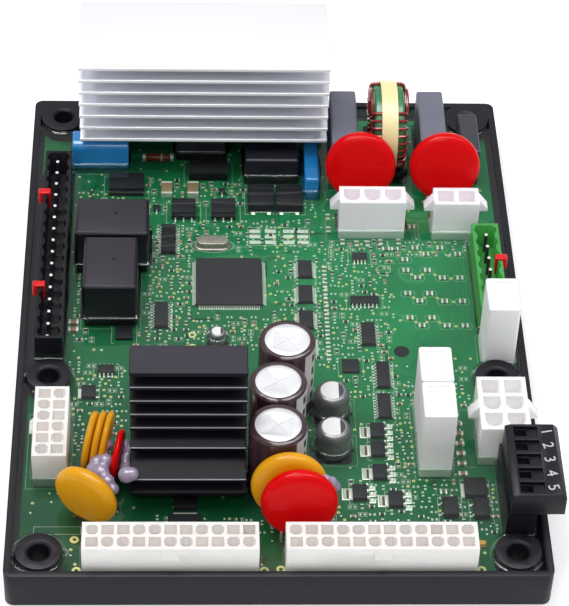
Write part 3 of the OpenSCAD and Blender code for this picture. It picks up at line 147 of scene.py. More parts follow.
# Title, colour or the name of its property, roughness, metal, mottling and its scale, relief,
# and what else differs from the defaults
FINISHES = {
    "tray": ("tray_plastic", "tray", 0.42, 0, 0.08, 500, 0.12, {"specular": 0.22}),
    "mask": ("solder_mask", "mask", 0.35, 0, 0.2, 140, 0.05, {"specular": 0.2}),
    "track": ("covered_track", "track", 0.35, 0, 0.15, 300, 0.05, {"specular": 0.2}),
    "print": ("white_print", (0.60, 0.66, 0.56), 0.6, 0, 0.1, 900, 0.1, {}),
    "faint_print": ("faint_print", (0.20, 0.42, 0.22), 0.6, 0, 0.2, 900, 0.1, {}),
    "solder": ("solder", (0.95, 0.94, 0.89), 0.35, 0.3, 0.05, 1500, 0.15, {}),
    "gold": ("plated_pad", (0.96, 0.84, 0.36), 0.35, 0.3, 0.08, 1500, 0.1, {}),
    "copper": ("bare_land", (0.13, 0.06, 0.035), 0.4, 0.3, 0.15, 1500, 0.1, {}),
    "bare_aluminium": ("extruded_aluminium", (0.80, 0.81, 0.86), 0.34, 0.65, 0.05, 500, 0.1,
                       {"grain": (0.04, 1, 1)}),
    # Painted highlight: the large heat sink's fin tips that face the front, near white where the light catches
    # them
    "large_sink_painted_highlight": ("cut_aluminium", (0.96, 0.96, 0.98), 0.45, 0.1, 0.02, 500, 0.05, {}),
    # Painted highlight: the large heat sink's top faces, lighter and less metallic than its body, for the
    # strong light from above
    "large_sink_painted_lit_top": ("milled_top", (0.85, 0.85, 0.87), 0.4, 0.1, 0.01, 500, 0.05, {"grain": (0.04, 1, 1)}),
    "black_anodised": ("black_anodising", (0.006, 0.006, 0.010), 0.45, 0, 0.1, 700, 0.1,
                       {"grain": (0.08, 1, 1), "specular": 0.1}),
    # Painted highlight: the upper front bevels of the small heat sink's fins, pale where the light catches
    # them
    "small_sink_painted_highlight": ("worn_anodising", (0.24, 0.24, 0.28), 0.4, 0, 0.1, 700, 0.05, {}),
    # Painted light: the small heat sink's top faces, a lighter copy of its black anodising
    "small_sink_painted_lit_top": ("anodised_top", (0.042, 0.038, 0.050), 0.42, 0, 0.1, 300, 0.08,
                 {"grain": (0.08, 1, 1), "specular": 0.15}),
    # Painted shade: the dark sides of the pins inside the pluggable headers
    "pin_side": ("pin_side", (0.035, 0.035, 0.042), 0.35, 0, 0.1, 1200, 0.05, {}),
    "tinned": ("tinned_metal", (0.90, 0.90, 0.88), 0.28, 0.5, 0.05, 1200, 0.1, {}),
    "brass": ("plated_brass", (0.86, 0.76, 0.52), 0.3, 0.6, 0.1, 1200, 0.1, {}),
    "nylon": ("white_nylon", "nylon", 0.42, 0, 0.03, 500, 0.1, {"sub": 0.15}),
    # Painted shade: the white headers' cells are a darker beige than their nylon
    "nylon_cell": ("nylon_cell", (0.78, 0.735, 0.71), 0.5, 0, 0.03, 500, 0.05, {}),
    # Painted light: the milky and clear headers' cells are kept light, against the shade in them
    "milky_cell": ("milky_cell", (0.95, 0.89, 0.93), 0.4, 0, 0.04, 300, 0.05, {}),
    "clear_cell": ("natural_cell", (0.93, 0.91, 0.91), 0.35, 0, 0.06, 300, 0.05, {}),
    "milky_nylon": ("milky_nylon", (0.93, 0.89, 0.95), 0.3, 0, 0.04, 300, 0.05, {"sub": 0.3}),
    "clear_nylon": ("natural_nylon", (0.88, 0.87, 0.88), 0.28, 0, 0.05, 300, 0.05, {"sub": 0.5}),
    "black_moulding": ("black_moulding", (0.0065, 0.0065, 0.0105), 0.4, 0, 0.08, 500, 0.08,
                       {"specular": 0.25}),
    "green_moulding": ("green_moulding", (0.045, 0.33, 0.055), 0.38, 0, 0.08, 700, 0.15, {}),
    "key_red": ("red_key", (0.72, 0.008, 0.010), 0.3, 0, 0.06, 700, 0.05, {"specular": 0.3}),
    "relay": ("relay_cover", (0.009, 0.0085, 0.014), 0.3, 0, 0.08, 300, 0.05, {"specular": 0.3}),
    # Painted reflection: the grey panel on the relays' black tops
    "relay_painted_reflection": ("relay_panel", (0.040, 0.035, 0.045), 0.42, 0, 0.05, 300, 0.05, {"specular": 0.15}),
    "ceramic": ("fired_ceramic", (0.90, 0.895, 0.89), 0.7, 0, 0.02, 500, 0.3, {}),
    "cement": ("cast_cement", (0.88, 0.875, 0.865), 0.8, 0, 0.02, 900, 0.3, {}),
    "sleeve": ("brown_sleeve", (0.050, 0.021, 0.027), 0.26, 0, 0.08, 250, 0.05, {"coat": 0.25}),
    "sleeve_stripe": ("pale_stripe", (0.62, 0.58, 0.60), 0.3, 0, 0.05, 400, 0.05, {}),
    "can": ("drawn_aluminium", (0.78, 0.78, 0.80), 0.42, 0.2, 0.03, 900, 0.08, {}),
    "can_side": ("can_side", (0.17, 0.175, 0.18), 0.34, 0.45, 0.05, 900, 0.05, {}),
    "can_top": ("can_print", (0.80, 0.80, 0.80), 0.5, 0, 0.02, 900, 0.05, {}),
    "can_mark": ("can_mark", (0.045, 0.045, 0.052), 0.4, 0, 0.05, 900, 0.05, {}),
    "film_grey": ("grey_film_case", (0.150, 0.152, 0.205), 0.42, 0, 0.04, 500, 0.1, {}),
    "film_dark": ("dark_film_case", (0.036, 0.036, 0.048), 0.35, 0, 0.06, 500, 0.1, {}),
    "film_blue": ("blue_coating", "film_blue", 0.24, 0, 0.06, 200, 0.08, {"coat": 0.3}),
    "module": ("module_case", (0.007, 0.008, 0.015), 0.38, 0, 0.08, 500, 0.08, {"specular": 0.3}),
    "disc_red": ("red_coating", "disc_red", 0.35, 0, 0.03, 150, 0.05,
                 {"coat": 0.14, "coat_rough": 0.04, "specular": 0.05}),
    "disc_yellow": ("yellow_coating", "disc_yellow", 0.34, 0, 0.08, 150, 0.1,
                    {"coat": 0.22, "specular": 0.12}),
    "glue": ("set_adhesive", (0.36, 0.30, 0.43), 0.25, 0, 0.12, 200, 0.04,
             {"sub": 0.35, "coat": 0.5, "coat_rough": 0.12}),
    "core": ("core_coating", (0.030, 0.20, 0.075), 0.35, 0, 0.1, 500, 0.15, {"coat": 0.3}),
    "enamel": ("enamelled_wire", (0.24, 0.012, 0.008), 0.22, 0.2, 0.15, 600, 0.05, {"coat": 0.5}),
    "tape": ("yellow_tape", (0.90, 0.80, 0.42), 0.35, 0, 0.06, 250, 0.15, {}),
    "chip": ("chip_moulding", (0.024, 0.022, 0.029), 0.5, 0, 0.05, 500, 0.04, {"specular": 0.1}),
    "micro": ("large_chip_moulding", (0.031, 0.027, 0.036), 0.55, 0, 0.04, 500, 0.03, {"specular": 0.08}),
    "crystal": ("crystal_can", (0.42, 0.36, 0.33), 0.28, 0.3, 0.05, 500, 0.05, {}),
    "diode": ("diode_body", (0.30, 0.035, 0.012), 0.25, 0, 0.15, 700, 0.05, {"coat": 0.4}),
    "resistor": ("resistor_top", (0.022, 0.022, 0.026), 0.35, 0, 0.1, 900, 0.1, {}),
    "film_resistor": ("film_resistor", (0.16, 0.19, 0.15), 0.4, 0, 0.1, 900, 0.1, {}),
    "chip_ceramic": ("chip_ceramic", (0.36, 0.22, 0.12), 0.45, 0, 0.15, 900, 0.1, {}),
    "lamp": ("amber_lens", (0.80, 0.42, 0.06), 0.15, 0, 0.08, 700, 0.05, {"coat": 0.5}),
    "digit": ("digit_print", (0.52, 0.52, 0.55), 0.5, 0, 0.03, 900, 0.05, {}),
    "floor": ("pale_floor", (0.93, 0.93, 0.93), 0.8, 0, 0.005, 20, 0.0, {"emission": 0.3}),
}

# How far the roughness of a finish strays from its value, and the depth of its relief in metres
ROUGH_SPREAD = 0.12
RELIEF_DEPTH = 0.00004

# How the board darkens: axis, start and end in metres, and the brightness at both
SHADE = (("Y", -0.075, 0.02, 0.52, 1.0), ("X", -0.055, 0.035, 0.72, 1.05))
MADE = {}


def add_node(tree, kind, inputs=None, **settings):
    """Adds a node. An input that is given a socket is linked to it, any other gets its value."""
    node = tree.nodes.new(kind)
    for name, value in settings.items():
        setattr(node, name, value)
    for name, value in (inputs or {}).items():
        if isinstance(value, bpy.types.NodeSocket):
            tree.links.new(value, node.inputs[name])
        else:
            node.inputs[name].default_value = value
    return node


def blank_material(name):
    material = bpy.data.materials.new(name)
    material.use_nodes = True
    material.node_tree.nodes.clear()
    return material, material.node_tree


def finish(title, tint, rough, metal, vary, scale, bump, grain=(1, 1, 1), coat=0.0, coat_rough=0.08, sub=0.0,
           specular=0.5, emission=0.0):
    """A finish with mottled colour and roughness and a fine relief, on object coordinates."""
    material, tree = blank_material(title)
    place = add_node(tree, "ShaderNodeTexCoord").outputs["Object"]
    place = add_node(tree, "ShaderNodeMapping", {"Vector": place, "Scale": grain}).outputs[0]
    mottle, fine = (add_node(tree, "ShaderNodeTexNoise", {"Vector": place, "Scale": size, "Detail": detail})
                    .outputs["Fac"] for size, detail in ((scale * 0.3, 4), (scale * 3, 3)))
    ramp = add_node(tree, "ShaderNodeValToRGB", {0: mottle})
    for stop, position, change in zip(ramp.color_ramp.elements, (0.3, 0.7), (1 - vary, 1 + vary)):
        stop.position = position
        stop.color = (*[min(1, c * change) for c in tint], 1)
    gloss = add_node(tree, "ShaderNodeMapRange", {
        "Value": fine, "To Min": max(0.02, rough * (1 - ROUGH_SPREAD)),
        "To Max": min(1, rough * (1 + ROUGH_SPREAD))})
    relief = add_node(tree, "ShaderNodeBump", {"Strength": bump, "Distance": RELIEF_DEPTH, "Height": fine})
    shader = add_node(tree, "ShaderNodeBsdfPrincipled", {
        "Base Color": ramp.outputs[0], "Roughness": gloss.outputs[0], "Normal": relief.outputs[0],
        "Metallic": metal, "Specular IOR Level": specular, "Coat Weight": coat, "Coat Roughness": coat_rough,
        "Subsurface Weight": sub, "Subsurface Radius": (0.002, 0.0018, 0.0015), "Subsurface Scale": 1.0,
        "Emission Color": (*tint, 1), "Emission Strength": emission})
    add_node(tree, "ShaderNodeOutputMaterial", {0: shader.outputs[0]})
    return material


def deepen(material):
    """Darkens a board finish to the front left, where less light comes down through the resin."""
    tree = material.node_tree
    place = add_node(tree, "ShaderNodeTexCoord").outputs["Object"]
    part = add_node(tree, "ShaderNodeSeparateXYZ", {0: place})
    falls = [add_node(tree, "ShaderNodeMapRange", {
        "Value": part.outputs[axis], "From Min": start, "From Max": end, "To Min": dim,
        "To Max": full}).outputs[0] for axis, start, end, dim, full in SHADE]
    both = add_node(tree, "ShaderNodeMath", {0: falls[0], 1: falls[1]}, operation="MULTIPLY").outputs[0]
    target = next(n for n in tree.nodes if n.type == "BSDF_PRINCIPLED").inputs["Base Color"]
    scaled = add_node(tree, "ShaderNodeVectorMath", {0: target.links[0].from_socket, "Scale": both},
                      operation="SCALE")
    tree.links.new(scaled.outputs[0], target)


def clear_resin():
    """A thin clear skin: what lies under it shows through, and its surface reflects the room."""
    material, tree = blank_material("poured_resin")
    place = add_node(tree, "ShaderNodeTexCoord").outputs["Object"]
    wave = add_node(tree, "ShaderNodeTexNoise", {"Vector": place, "Scale": 90, "Detail": 2}).outputs["Fac"]
    relief = add_node(tree, "ShaderNodeBump", {"Strength": 0.06, "Distance": 0.0003, "Height": wave})
    clear = add_node(tree, "ShaderNodeBsdfTransparent", {"Color": (0.93, 0.97, 0.94, 1)})
    shine = add_node(tree, "ShaderNodeBsdfGlossy", {
        "Roughness": 0.03, "Color": (1, 1, 1, 1), "Normal": relief.outputs[0]})
    angle = add_node(tree, "ShaderNodeFresnel", {"IOR": 1.42, "Normal": relief.outputs[0]})
    mix = add_node(tree, "ShaderNodeMixShader", {
        0: angle.outputs[0], 1: clear.outputs[0], 2: shine.outputs[0]})
    add_node(tree, "ShaderNodeOutputMaterial", {0: mix.outputs[0]})
    return material


def finishes(name):
    """The finish of that name, made when it is first asked for."""
    if name == "resin" and name not in MADE:
        MADE[name] = clear_resin()
    elif name not in MADE:
        title, tint, rough, metal, vary, scale, bump, other = FINISHES[name]
        if isinstance(tint, str):
            tint = getattr(bpy.context.scene.board_colours, tint)
        MADE[name] = finish(title, tint, rough, metal, vary, scale, bump, **other)
        if name in ("mask", "track"):
            deepen(MADE[name])
    return MADE[name]


# Mesh helpers

def link(name, data):
    """A new object in the scene, at the origin."""
    made = bpy.data.objects.new(name, data)
    bpy.context.scene.collection.objects.link(made)
    return made


def mesh_of(name, bm):
    mesh = bpy.data.meshes.new(name)
    bm.to_mesh(mesh)
    bm.free()
    return mesh


def add_piece(name, mesh, finish_name, smooth=35):
    piece = link(name, mesh)
    mesh.materials.clear()
    mesh.materials.append(finishes(finish_name))
    if smooth:
        mesh.polygons.foreach_set("use_smooth", [True] * len(mesh.polygons))
        mesh.set_sharp_from_angle(angle=math.radians(smooth))
    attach(piece, "root")
    return piece


def from_bmesh(name, bm, finish_name, smooth=35, outward=False):
    if outward:
        bmesh.ops.recalc_face_normals(bm, faces=bm.faces)
    return add_piece(name, mesh_of(name, bm), finish_name, smooth)


def evaluated_mesh(holder, name):
    """The plain mesh that an object's modifiers make, and the holder taken away."""
    graph = bpy.context.evaluated_depsgraph_get()
    graph.update()
    mesh = bpy.data.meshes.new_from_object(holder.evaluated_get(graph), preserve_all_data_layers=True,
                                           depsgraph=graph)
    mesh.name = name
    data = holder.data
    bpy.data.objects.remove(holder)
    (bpy.data.curves if isinstance(data, bpy.types.Curve) else bpy.data.meshes).remove(data)
    if not mesh.polygons:
        raise RuntimeError(name + " came out empty")
    return mesh


def rounded_copy(node, finish_name, width=0.25, segments=2, angle=30, smooth=35):
    """A copy of a CAD node with its sharp edges rounded, which stands for it."""
    bm = bmesh.new()
    bm.from_mesh(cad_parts[node].data)
    bmesh.ops.remove_doubles(bm, verts=bm.verts, dist=2e-6)
    bmesh.ops.dissolve_limit(bm, angle_limit=math.radians(0.6), verts=bm.verts, edges=bm.edges)
    holder = link(node + "_raw", mesh_of(node + "_raw", bm))
    if width:
        bevel = holder.modifiers.new("rounding", "BEVEL")
        bevel.width = width * MM
        bevel.segments = segments
        bevel.limit_method = "ANGLE"
        bevel.angle_limit = math.radians(angle)
        bevel.use_clamp_overlap = True
    result = evaluated_mesh(holder, node + "_piece")
    piece = add_piece(node + "_piece", result, finish_name, smooth)
    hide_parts(node)
    return piece


def islands(node):
    """The separate solids of a CAD node, as lowest and highest corners in millimetres."""
    bm = bmesh.new()
    bm.from_mesh(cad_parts[node].data)
    bmesh.ops.remove_doubles(bm, verts=bm.verts, dist=1e-6)
    seen, found = set(), []
    for start in bm.verts:
        if start.index in seen:
            continue
        stack, group = [start], []
        seen.add(start.index)
        while stack:
            vert = stack.pop()
            group.append(vert.co / MM)
            for edge in vert.link_edges:
                other = edge.other_vert(vert)
                if other.index not in seen:
                    seen.add(other.index)
                    stack.append(other)
        found.append([Vector([pick(v[i] for v in group) for i in range(3)]) for pick in (min, max)])
    bm.free()
    return found


def verts_into(bm, points, matrix=Matrix.Identity(4)):
    """A loop of points in millimetres."""
    return [bm.verts.new(matrix @ (Vector(point) * MM)) for point in points]


def band_into(bm, lower, upper):
    """Faces all the way round between two loops, of which one may be a single point."""
    count = max(len(lower), len(upper))
    for i in range(count):
        j = (i + 1) % count
        if len(lower) == 1:
            bm.faces.new((lower[0], upper[j], upper[i]))
        elif len(upper) == 1:
            bm.faces.new((lower[i], lower[j], upper[0]))
        else:
            bm.faces.new((lower[i], lower[j], upper[j], upper[i]))


def arc(radius, start, end, steps, centre=(0, 0)):
    """Points along an arc between two angles in degrees, both ends included."""
    angles = [math.radians(start + (end - start) * k / steps) for k in range(steps + 1)]
    return [(centre[0] + radius * math.cos(a), centre[1] + radius * math.sin(a)) for a in angles]


def box_into(bm, low, high):
    """A closed box in millimetres, with its faces outwards."""
    size = [(h - l) * MM for l, h in zip(low, high)]
    middle = Matrix.Translation((Vector(low) + Vector(high)) / 2 * MM)
    bmesh.ops.create_cube(bm, size=1, matrix=middle @ Matrix.Diagonal((*size, 1)))


def box_shape(*boxes):
    bm = bmesh.new()
    for low, high in boxes:
        box_into(bm, low, high)
    return bm


def lathe_into(bm, profile, steps=48, matrix=Matrix.Identity(4), cap=False):
    """Turns a profile of (radius, height) points about Z; it is closed at the axis or by its cap."""
    rings = [verts_into(bm, [(x, y, height) for x, y in arc(radius, 0, 360, steps)[:-1]]
                        if radius else [(0, 0, height)], matrix) for radius, height in profile]
    for lower, upper in zip(rings, rings[1:] + rings[:1] * cap):
        band_into(bm, lower, upper)


def lathe_shape(profile, steps, cap=False):
    bm = bmesh.new()
    lathe_into(bm, profile, steps, cap=cap)
    return bm


def prism_into(bm, outline, low, high):
    """A closed prism over an outline of (x, y) points, counter-clockwise."""
    under, over = (verts_into(bm, [(x, y, z) for x, y in outline]) for z in (low, high))
    bm.faces.new(under[::-1])
    bm.faces.new(over)
    band_into(bm, under, over)


def tube_into(bm, path, radius, steps=8, closed=False):
    """A round tube along points in millimetres."""
    points = [Vector(p) for p in path]
    count = len(points)
    rings = []
    normal = None
    for i, point in enumerate(points):
        before, after = (i - 1, (i + 1) % count) if closed else (max(i - 1, 0), min(i + 1, count - 1))
        ahead = (points[after] - points[before]).normalized()
        if normal is None:
            normal = ahead.orthogonal().normalized()
        normal = (normal - ahead * normal.dot(ahead)).normalized()
        side = ahead.cross(normal)
        circle = arc(radius, 0, 360, steps)[:-1]
        rings.append(verts_into(bm, [point + normal * x + side * y for x, y in circle]))
    for lower, upper in zip(rings, rings[1:] + rings[:1] * closed):
        band_into(bm, lower, upper)
    if not closed:
        bm.faces.new(rings[0][::-1])
        bm.faces.new(rings[-1])


# Geometry Nodes

def new_tree(name, inputs, output):
    """A node group with named sockets, and the values that come in through them."""
    tree = bpy.data.node_groups.new(name, "GeometryNodeTree")
    for socket, kind in inputs:
        tree.interface.new_socket(socket, in_out="INPUT", socket_type="NodeSocket" + kind)
    tree.interface.new_socket(output, in_out="OUTPUT", socket_type="NodeSocketGeometry")
    return tree, add_node(tree, "NodeGroupInput").outputs


def end_tree(tree, geometry, material):
    """Makes what came of a node group real and gives it its material."""
    real = add_node(tree, "GeometryNodeRealizeInstances", {0: geometry})
    paint = add_node(tree, "GeometryNodeSetMaterial", {"Geometry": real.outputs[0], "Material": material})
    add_node(tree, "NodeGroupOutput", {0: paint.outputs[0]})
    return tree


def spread_tree():
    """Sets a shape on the points of a mesh, turned by the points' own values."""
    if "spread_shape" in bpy.data.node_groups:
        return bpy.data.node_groups["spread_shape"]
    tree, given = new_tree("spread_shape", (("Points", "Geometry"), ("Shape", "Object"), ("Size", "Float"),
                                            ("Finish", "Material")), "Pieces")
    shape = add_node(tree, "GeometryNodeObjectInfo", {"Object": given["Shape"]}, transform_space="ORIGINAL")
    turn = add_node(tree, "GeometryNodeInputNamedAttribute", {"Name": "turn"}, data_type="FLOAT_VECTOR")
    rotation = add_node(tree, "FunctionNodeEulerToRotation", {0: turn.outputs["Attribute"]})
    place = add_node(tree, "GeometryNodeInstanceOnPoints", {
        "Points": given["Points"], "Instance": shape.outputs["Geometry"], "Rotation": rotation.outputs[0],
        "Scale": given["Size"]})
    return end_tree(tree, place.outputs[0], given["Finish"])


def strip_tree():
    """Lays a flat closed strip along every line of a mesh."""
    if "strip_along" in bpy.data.node_groups:
        return bpy.data.node_groups["strip_along"]
    tree, given = new_tree("strip_along", (("Lines", "Geometry"), ("Width", "Float"), ("Height", "Float"),
                                           ("Finish", "Material")), "Strips")
    curve = add_node(tree, "GeometryNodeMeshToCurve", {"Mesh": given["Lines"]})
    level = add_node(tree, "GeometryNodeSetCurveNormal", {"Curve": curve.outputs[0]}, mode="Z_UP")
    section = add_node(tree, "GeometryNodeCurvePrimitiveQuadrilateral", {
        "Width": given["Width"], "Height": given["Height"]})
    body = add_node(tree, "GeometryNodeCurveToMesh", {
        "Curve": level.outputs[0], "Profile Curve": section.outputs[0], "Fill Caps": True})
    return end_tree(tree, body.outputs[0], given["Finish"])


def socket_id(tree, name):
    return next(item.identifier for item in tree.interface.items_tree
                if item.item_type == "SOCKET" and item.in_out == "INPUT" and item.name == name)


def run_tree(tree, name, mesh, values):
    """The mesh that a node group makes of another one, with its named inputs set."""
    holder = link(mesh.name, mesh)
    modifier = holder.modifiers.new("nodes", "NODES")
    modifier.node_group = tree
    for socket, value in values.items():
        modifier[socket_id(tree, socket)] = value
    return evaluated_mesh(holder, name)


def spread(name, shape, places, finish_name, smooth=35):
    """Sets copies of a shape at places of x, y, z in millimetres and, where they turn, Euler angles."""
    solid = mesh_of(name + "_shape", shape)
    model = bpy.data.objects.new(name + "_shape", solid)
    mesh = bpy.data.meshes.new(name + "_points")
    mesh.from_pydata([Vector(place[:3]) * MM for place in places], [], [])
    turns = mesh.attributes.new("turn", "FLOAT_VECTOR", "POINT")
    turns.data.foreach_set("vector", [angle for place in places for angle in (*place, 0, 0, 0)[3:6]])
    result = run_tree(spread_tree(), name, mesh, {
        "Shape": model, "Size": 1.0, "Finish": finishes(finish_name)})
    bpy.data.objects.remove(model)
    bpy.data.meshes.remove(solid)
    if "turn" in result.attributes:
        result.attributes.remove(result.attributes["turn"])
    return add_piece(name, result, finish_name, smooth)


def strips(name, lines, width, height, level, finish_name, slot):
    """Flat strips along lines of (x, y) points; a line that ends where it starts is closed."""
    points, edges = [], []
    for line in lines:
        first = len(points)
        closed = len(line) > 2 and line[0] == line[-1]
        body = line[:-1] if closed else line
        points.extend(Vector((x, y, level + height / 2)) * MM for x, y in body)
        edges.extend((first + i, first + i + 1) for i in range(len(body) - 1))
        if closed:
            edges.append((first + len(body) - 1, first))
    mesh = bpy.data.meshes.new(name + "_lines")
    mesh.from_pydata(points, edges, [])
    result = run_tree(strip_tree(), name, mesh, {
        "Width": width * MM, "Height": height * MM, "Finish": finishes(finish_name)})
    bm = bmesh.new()
    bm.from_mesh(result)
    bpy.data.meshes.remove(result)
    return from_bmesh(name, bm, finish_name, smooth=0, outward=True)


# Shapes that pieces share

def boxes_piece(name, boxes, finish_name, rounding=0.0):
    """Closed boxes in millimetres as one piece, with rounded edges."""
    bm = box_shape(*boxes)
    if rounding:
        bmesh.ops.bevel(bm, geom=list(bm.edges), offset=rounding * MM, segments=2, affect="EDGES", profile=0.5)
    return from_bmesh(name, bm, finish_name)


def disc_shape(radius, height, steps):
    return lathe_shape([(0, 0), (radius, 0), (radius, height), (0, height)], steps)


def ring_shape(inner, outer, height, steps):
    return lathe_shape([(inner, 0), (outer, 0), (outer, height), (inner, height)], steps, cap=True)


DROP_VOXEL = 0.45
DROP_SMOOTHING = (8, 0.6)


def blob(name, lumps, finish_name):
    """Lumps of (point, radius) in millimetres run together into one drop."""
    bm = bmesh.new()
    for point, radius in lumps:
        bmesh.ops.create_icosphere(bm, subdivisions=3, radius=radius * MM,
                                   matrix=Matrix.Translation(Vector(point) * MM))
    holder = link(name + "_lumps", mesh_of(name + "_lumps", bm))
    join = holder.modifiers.new("join", "REMESH")
    join.mode = "VOXEL"
    join.voxel_size = DROP_VOXEL * MM
    soften = holder.modifiers.new("soften", "SMOOTH")
    soften.iterations, soften.factor = DROP_SMOOTHING
    return add_piece(name, evaluated_mesh(holder, name), finish_name, 60)


def rectangle(x0, y0, x1, y1):
    """A closed line round a rectangle."""
    return [(x0, y0), (x1, y0), (x1, y1), (x0, y1), (x0, y0)]


def closed_arc(radius, steps, centre):
    """A closed line round a circle."""
    line = arc(radius, 0, 360, steps, centre)[:-1]
    return line + line[:1]


def circle_outline(x, y, r):
    """Points round a circle, with their outward directions."""
    return [(x + r * nx, y + r * ny, nx, ny) for nx, ny in arc(1, 0, 360, 48 if r > 2 else 16)[:-1]]


def box_outline(low, high, r):
    """Points round a rectangle with rounded corners, with their outward directions."""
    x0, y0, x1, y1 = low.x + r, low.y + r, high.x - r, high.y - r
    line = []
    for k, (x, y) in enumerate(((x1, y1), (x0, y1), (x0, y0), (x1, y0))):
        line += [(x + r * nx, y + r * ny, nx, ny) for nx, ny in arc(1, 90 * k, 90 * k + 90, 4)]
    return line


def fillet_into(bm, outline, height, width):
    """A hollow curve of resin that climbs what stands in it, all the way round the outline."""
    root, level = -0.25, RESIN_TOP - 0.07
    curve = [(width * (1 - s), height * (1 - c)) for c, s in arc(1, 0, 90, 8)]
    loops = [verts_into(bm, [(x + nx * out, y + ny * out, level + up) for x, y, nx, ny in outline])
             for out, up in [(root, root), (width, root), *curve, (root, height)]]
    for lower, upper in zip(loops, loops[1:] + loops[:1]):
        band_into(bm, lower, upper)


def face_finish(piece, finish_name, chosen):
    """Gives the faces of a piece that chosen(normal, middle in mm) picks a finish of their own."""
    mesh = piece.data
    mesh.materials.append(finishes(finish_name))
    for face in mesh.polygons:
        if chosen(face.normal, face.center / MM):
            face.material_index = len(mesh.materials) - 1


def dress(node, finish_name):
    """Gives a CAD node that stays as it is its finish."""
    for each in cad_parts[node].material_slots:
        each.material = finishes(finish_name)


# Ground on the board

# Nodes round which no ground is kept free
PASSED_OVER = {
    "tray", "circuit_board", "potting_resin", "chip_leads", "microcontroller_leads", "large_heat_sink",
    "small_heat_sink", "plug_5_way", "plug_screws", "component_leads", "power_devices", "sink_screws",
    "power_device_tabs", "varistors_back", "varistors_yellow", "discs_front_red", "thin_discs_yellow",
    "choke_windings", "choke_tape", "choke_core", "fine_header_pins", "coarse_header_pins",
    "pluggable_header_pins", "coding_keys", "cement_fills",
}


def header_body(node):
    """The box of a header's body without its ears and its latch strip."""
    low, high = box_of(node)
    if node in ("header_22_way", "header_24_way"):
        low.y += LATCH_DEPTH
    if node == "header_12_way":
        low.x += LATCH_DEPTH
    if node in EARED:
        ear = (high.x - low.x - EARED[node] * COARSE_PITCH - 2 * COARSE_WALL) / 2
        low.x += ear
        high.x -= ear
    return low, high


class Ground:
    """Finds free ground on the board for small parts."""

    # What stays clear round a boss, round the open hole and between two small parts
    BOSS_CLEAR = 1.6
    HOLE_CLEAR = 0.9
    PART_CLEAR = 0.25

    def __init__(self):
        self.boxes = [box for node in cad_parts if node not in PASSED_OVER for box in islands(node)]
        self.taken = [BOARD_HOLE]

    def free(self, x, y, half, gap=0.35):
        if abs(x) >= BOARD_REACH[0] or abs(y) >= BOARD_REACH[1]:
            return False
        for bx, by, r in BOSSES:
            if math.hypot(x - bx, y - by) < r + self.BOSS_CLEAR + half:
                return False
        hole_x, hole_y, hole_radius = BOARD_HOLE
        if math.hypot(x - hole_x, y - hole_y) < hole_radius + self.HOLE_CLEAR + half:
            return False
        for low, high in self.boxes:
            if low.x - half - gap < x < high.x + half + gap and low.y - half - gap < y < high.y + half + gap:
                return False
        return all(max(abs(px - x), abs(py - y)) >= half + ph + self.PART_CLEAR for px, py, ph in self.taken)

    def take(self, x, y, half):
        self.taken.append((x, y, half))


# Operators

class BOARD_OT_tray(bpy.types.Operator):
    """Makes the tray with softened edges"""
    bl_idname = "board.tray"
    bl_label = "Tray"

    def execute(self, context):
        rounded_copy("tray", "tray", context.scene.board_sizes.edge_round, 2, angle=40)
        return {"FINISHED"}


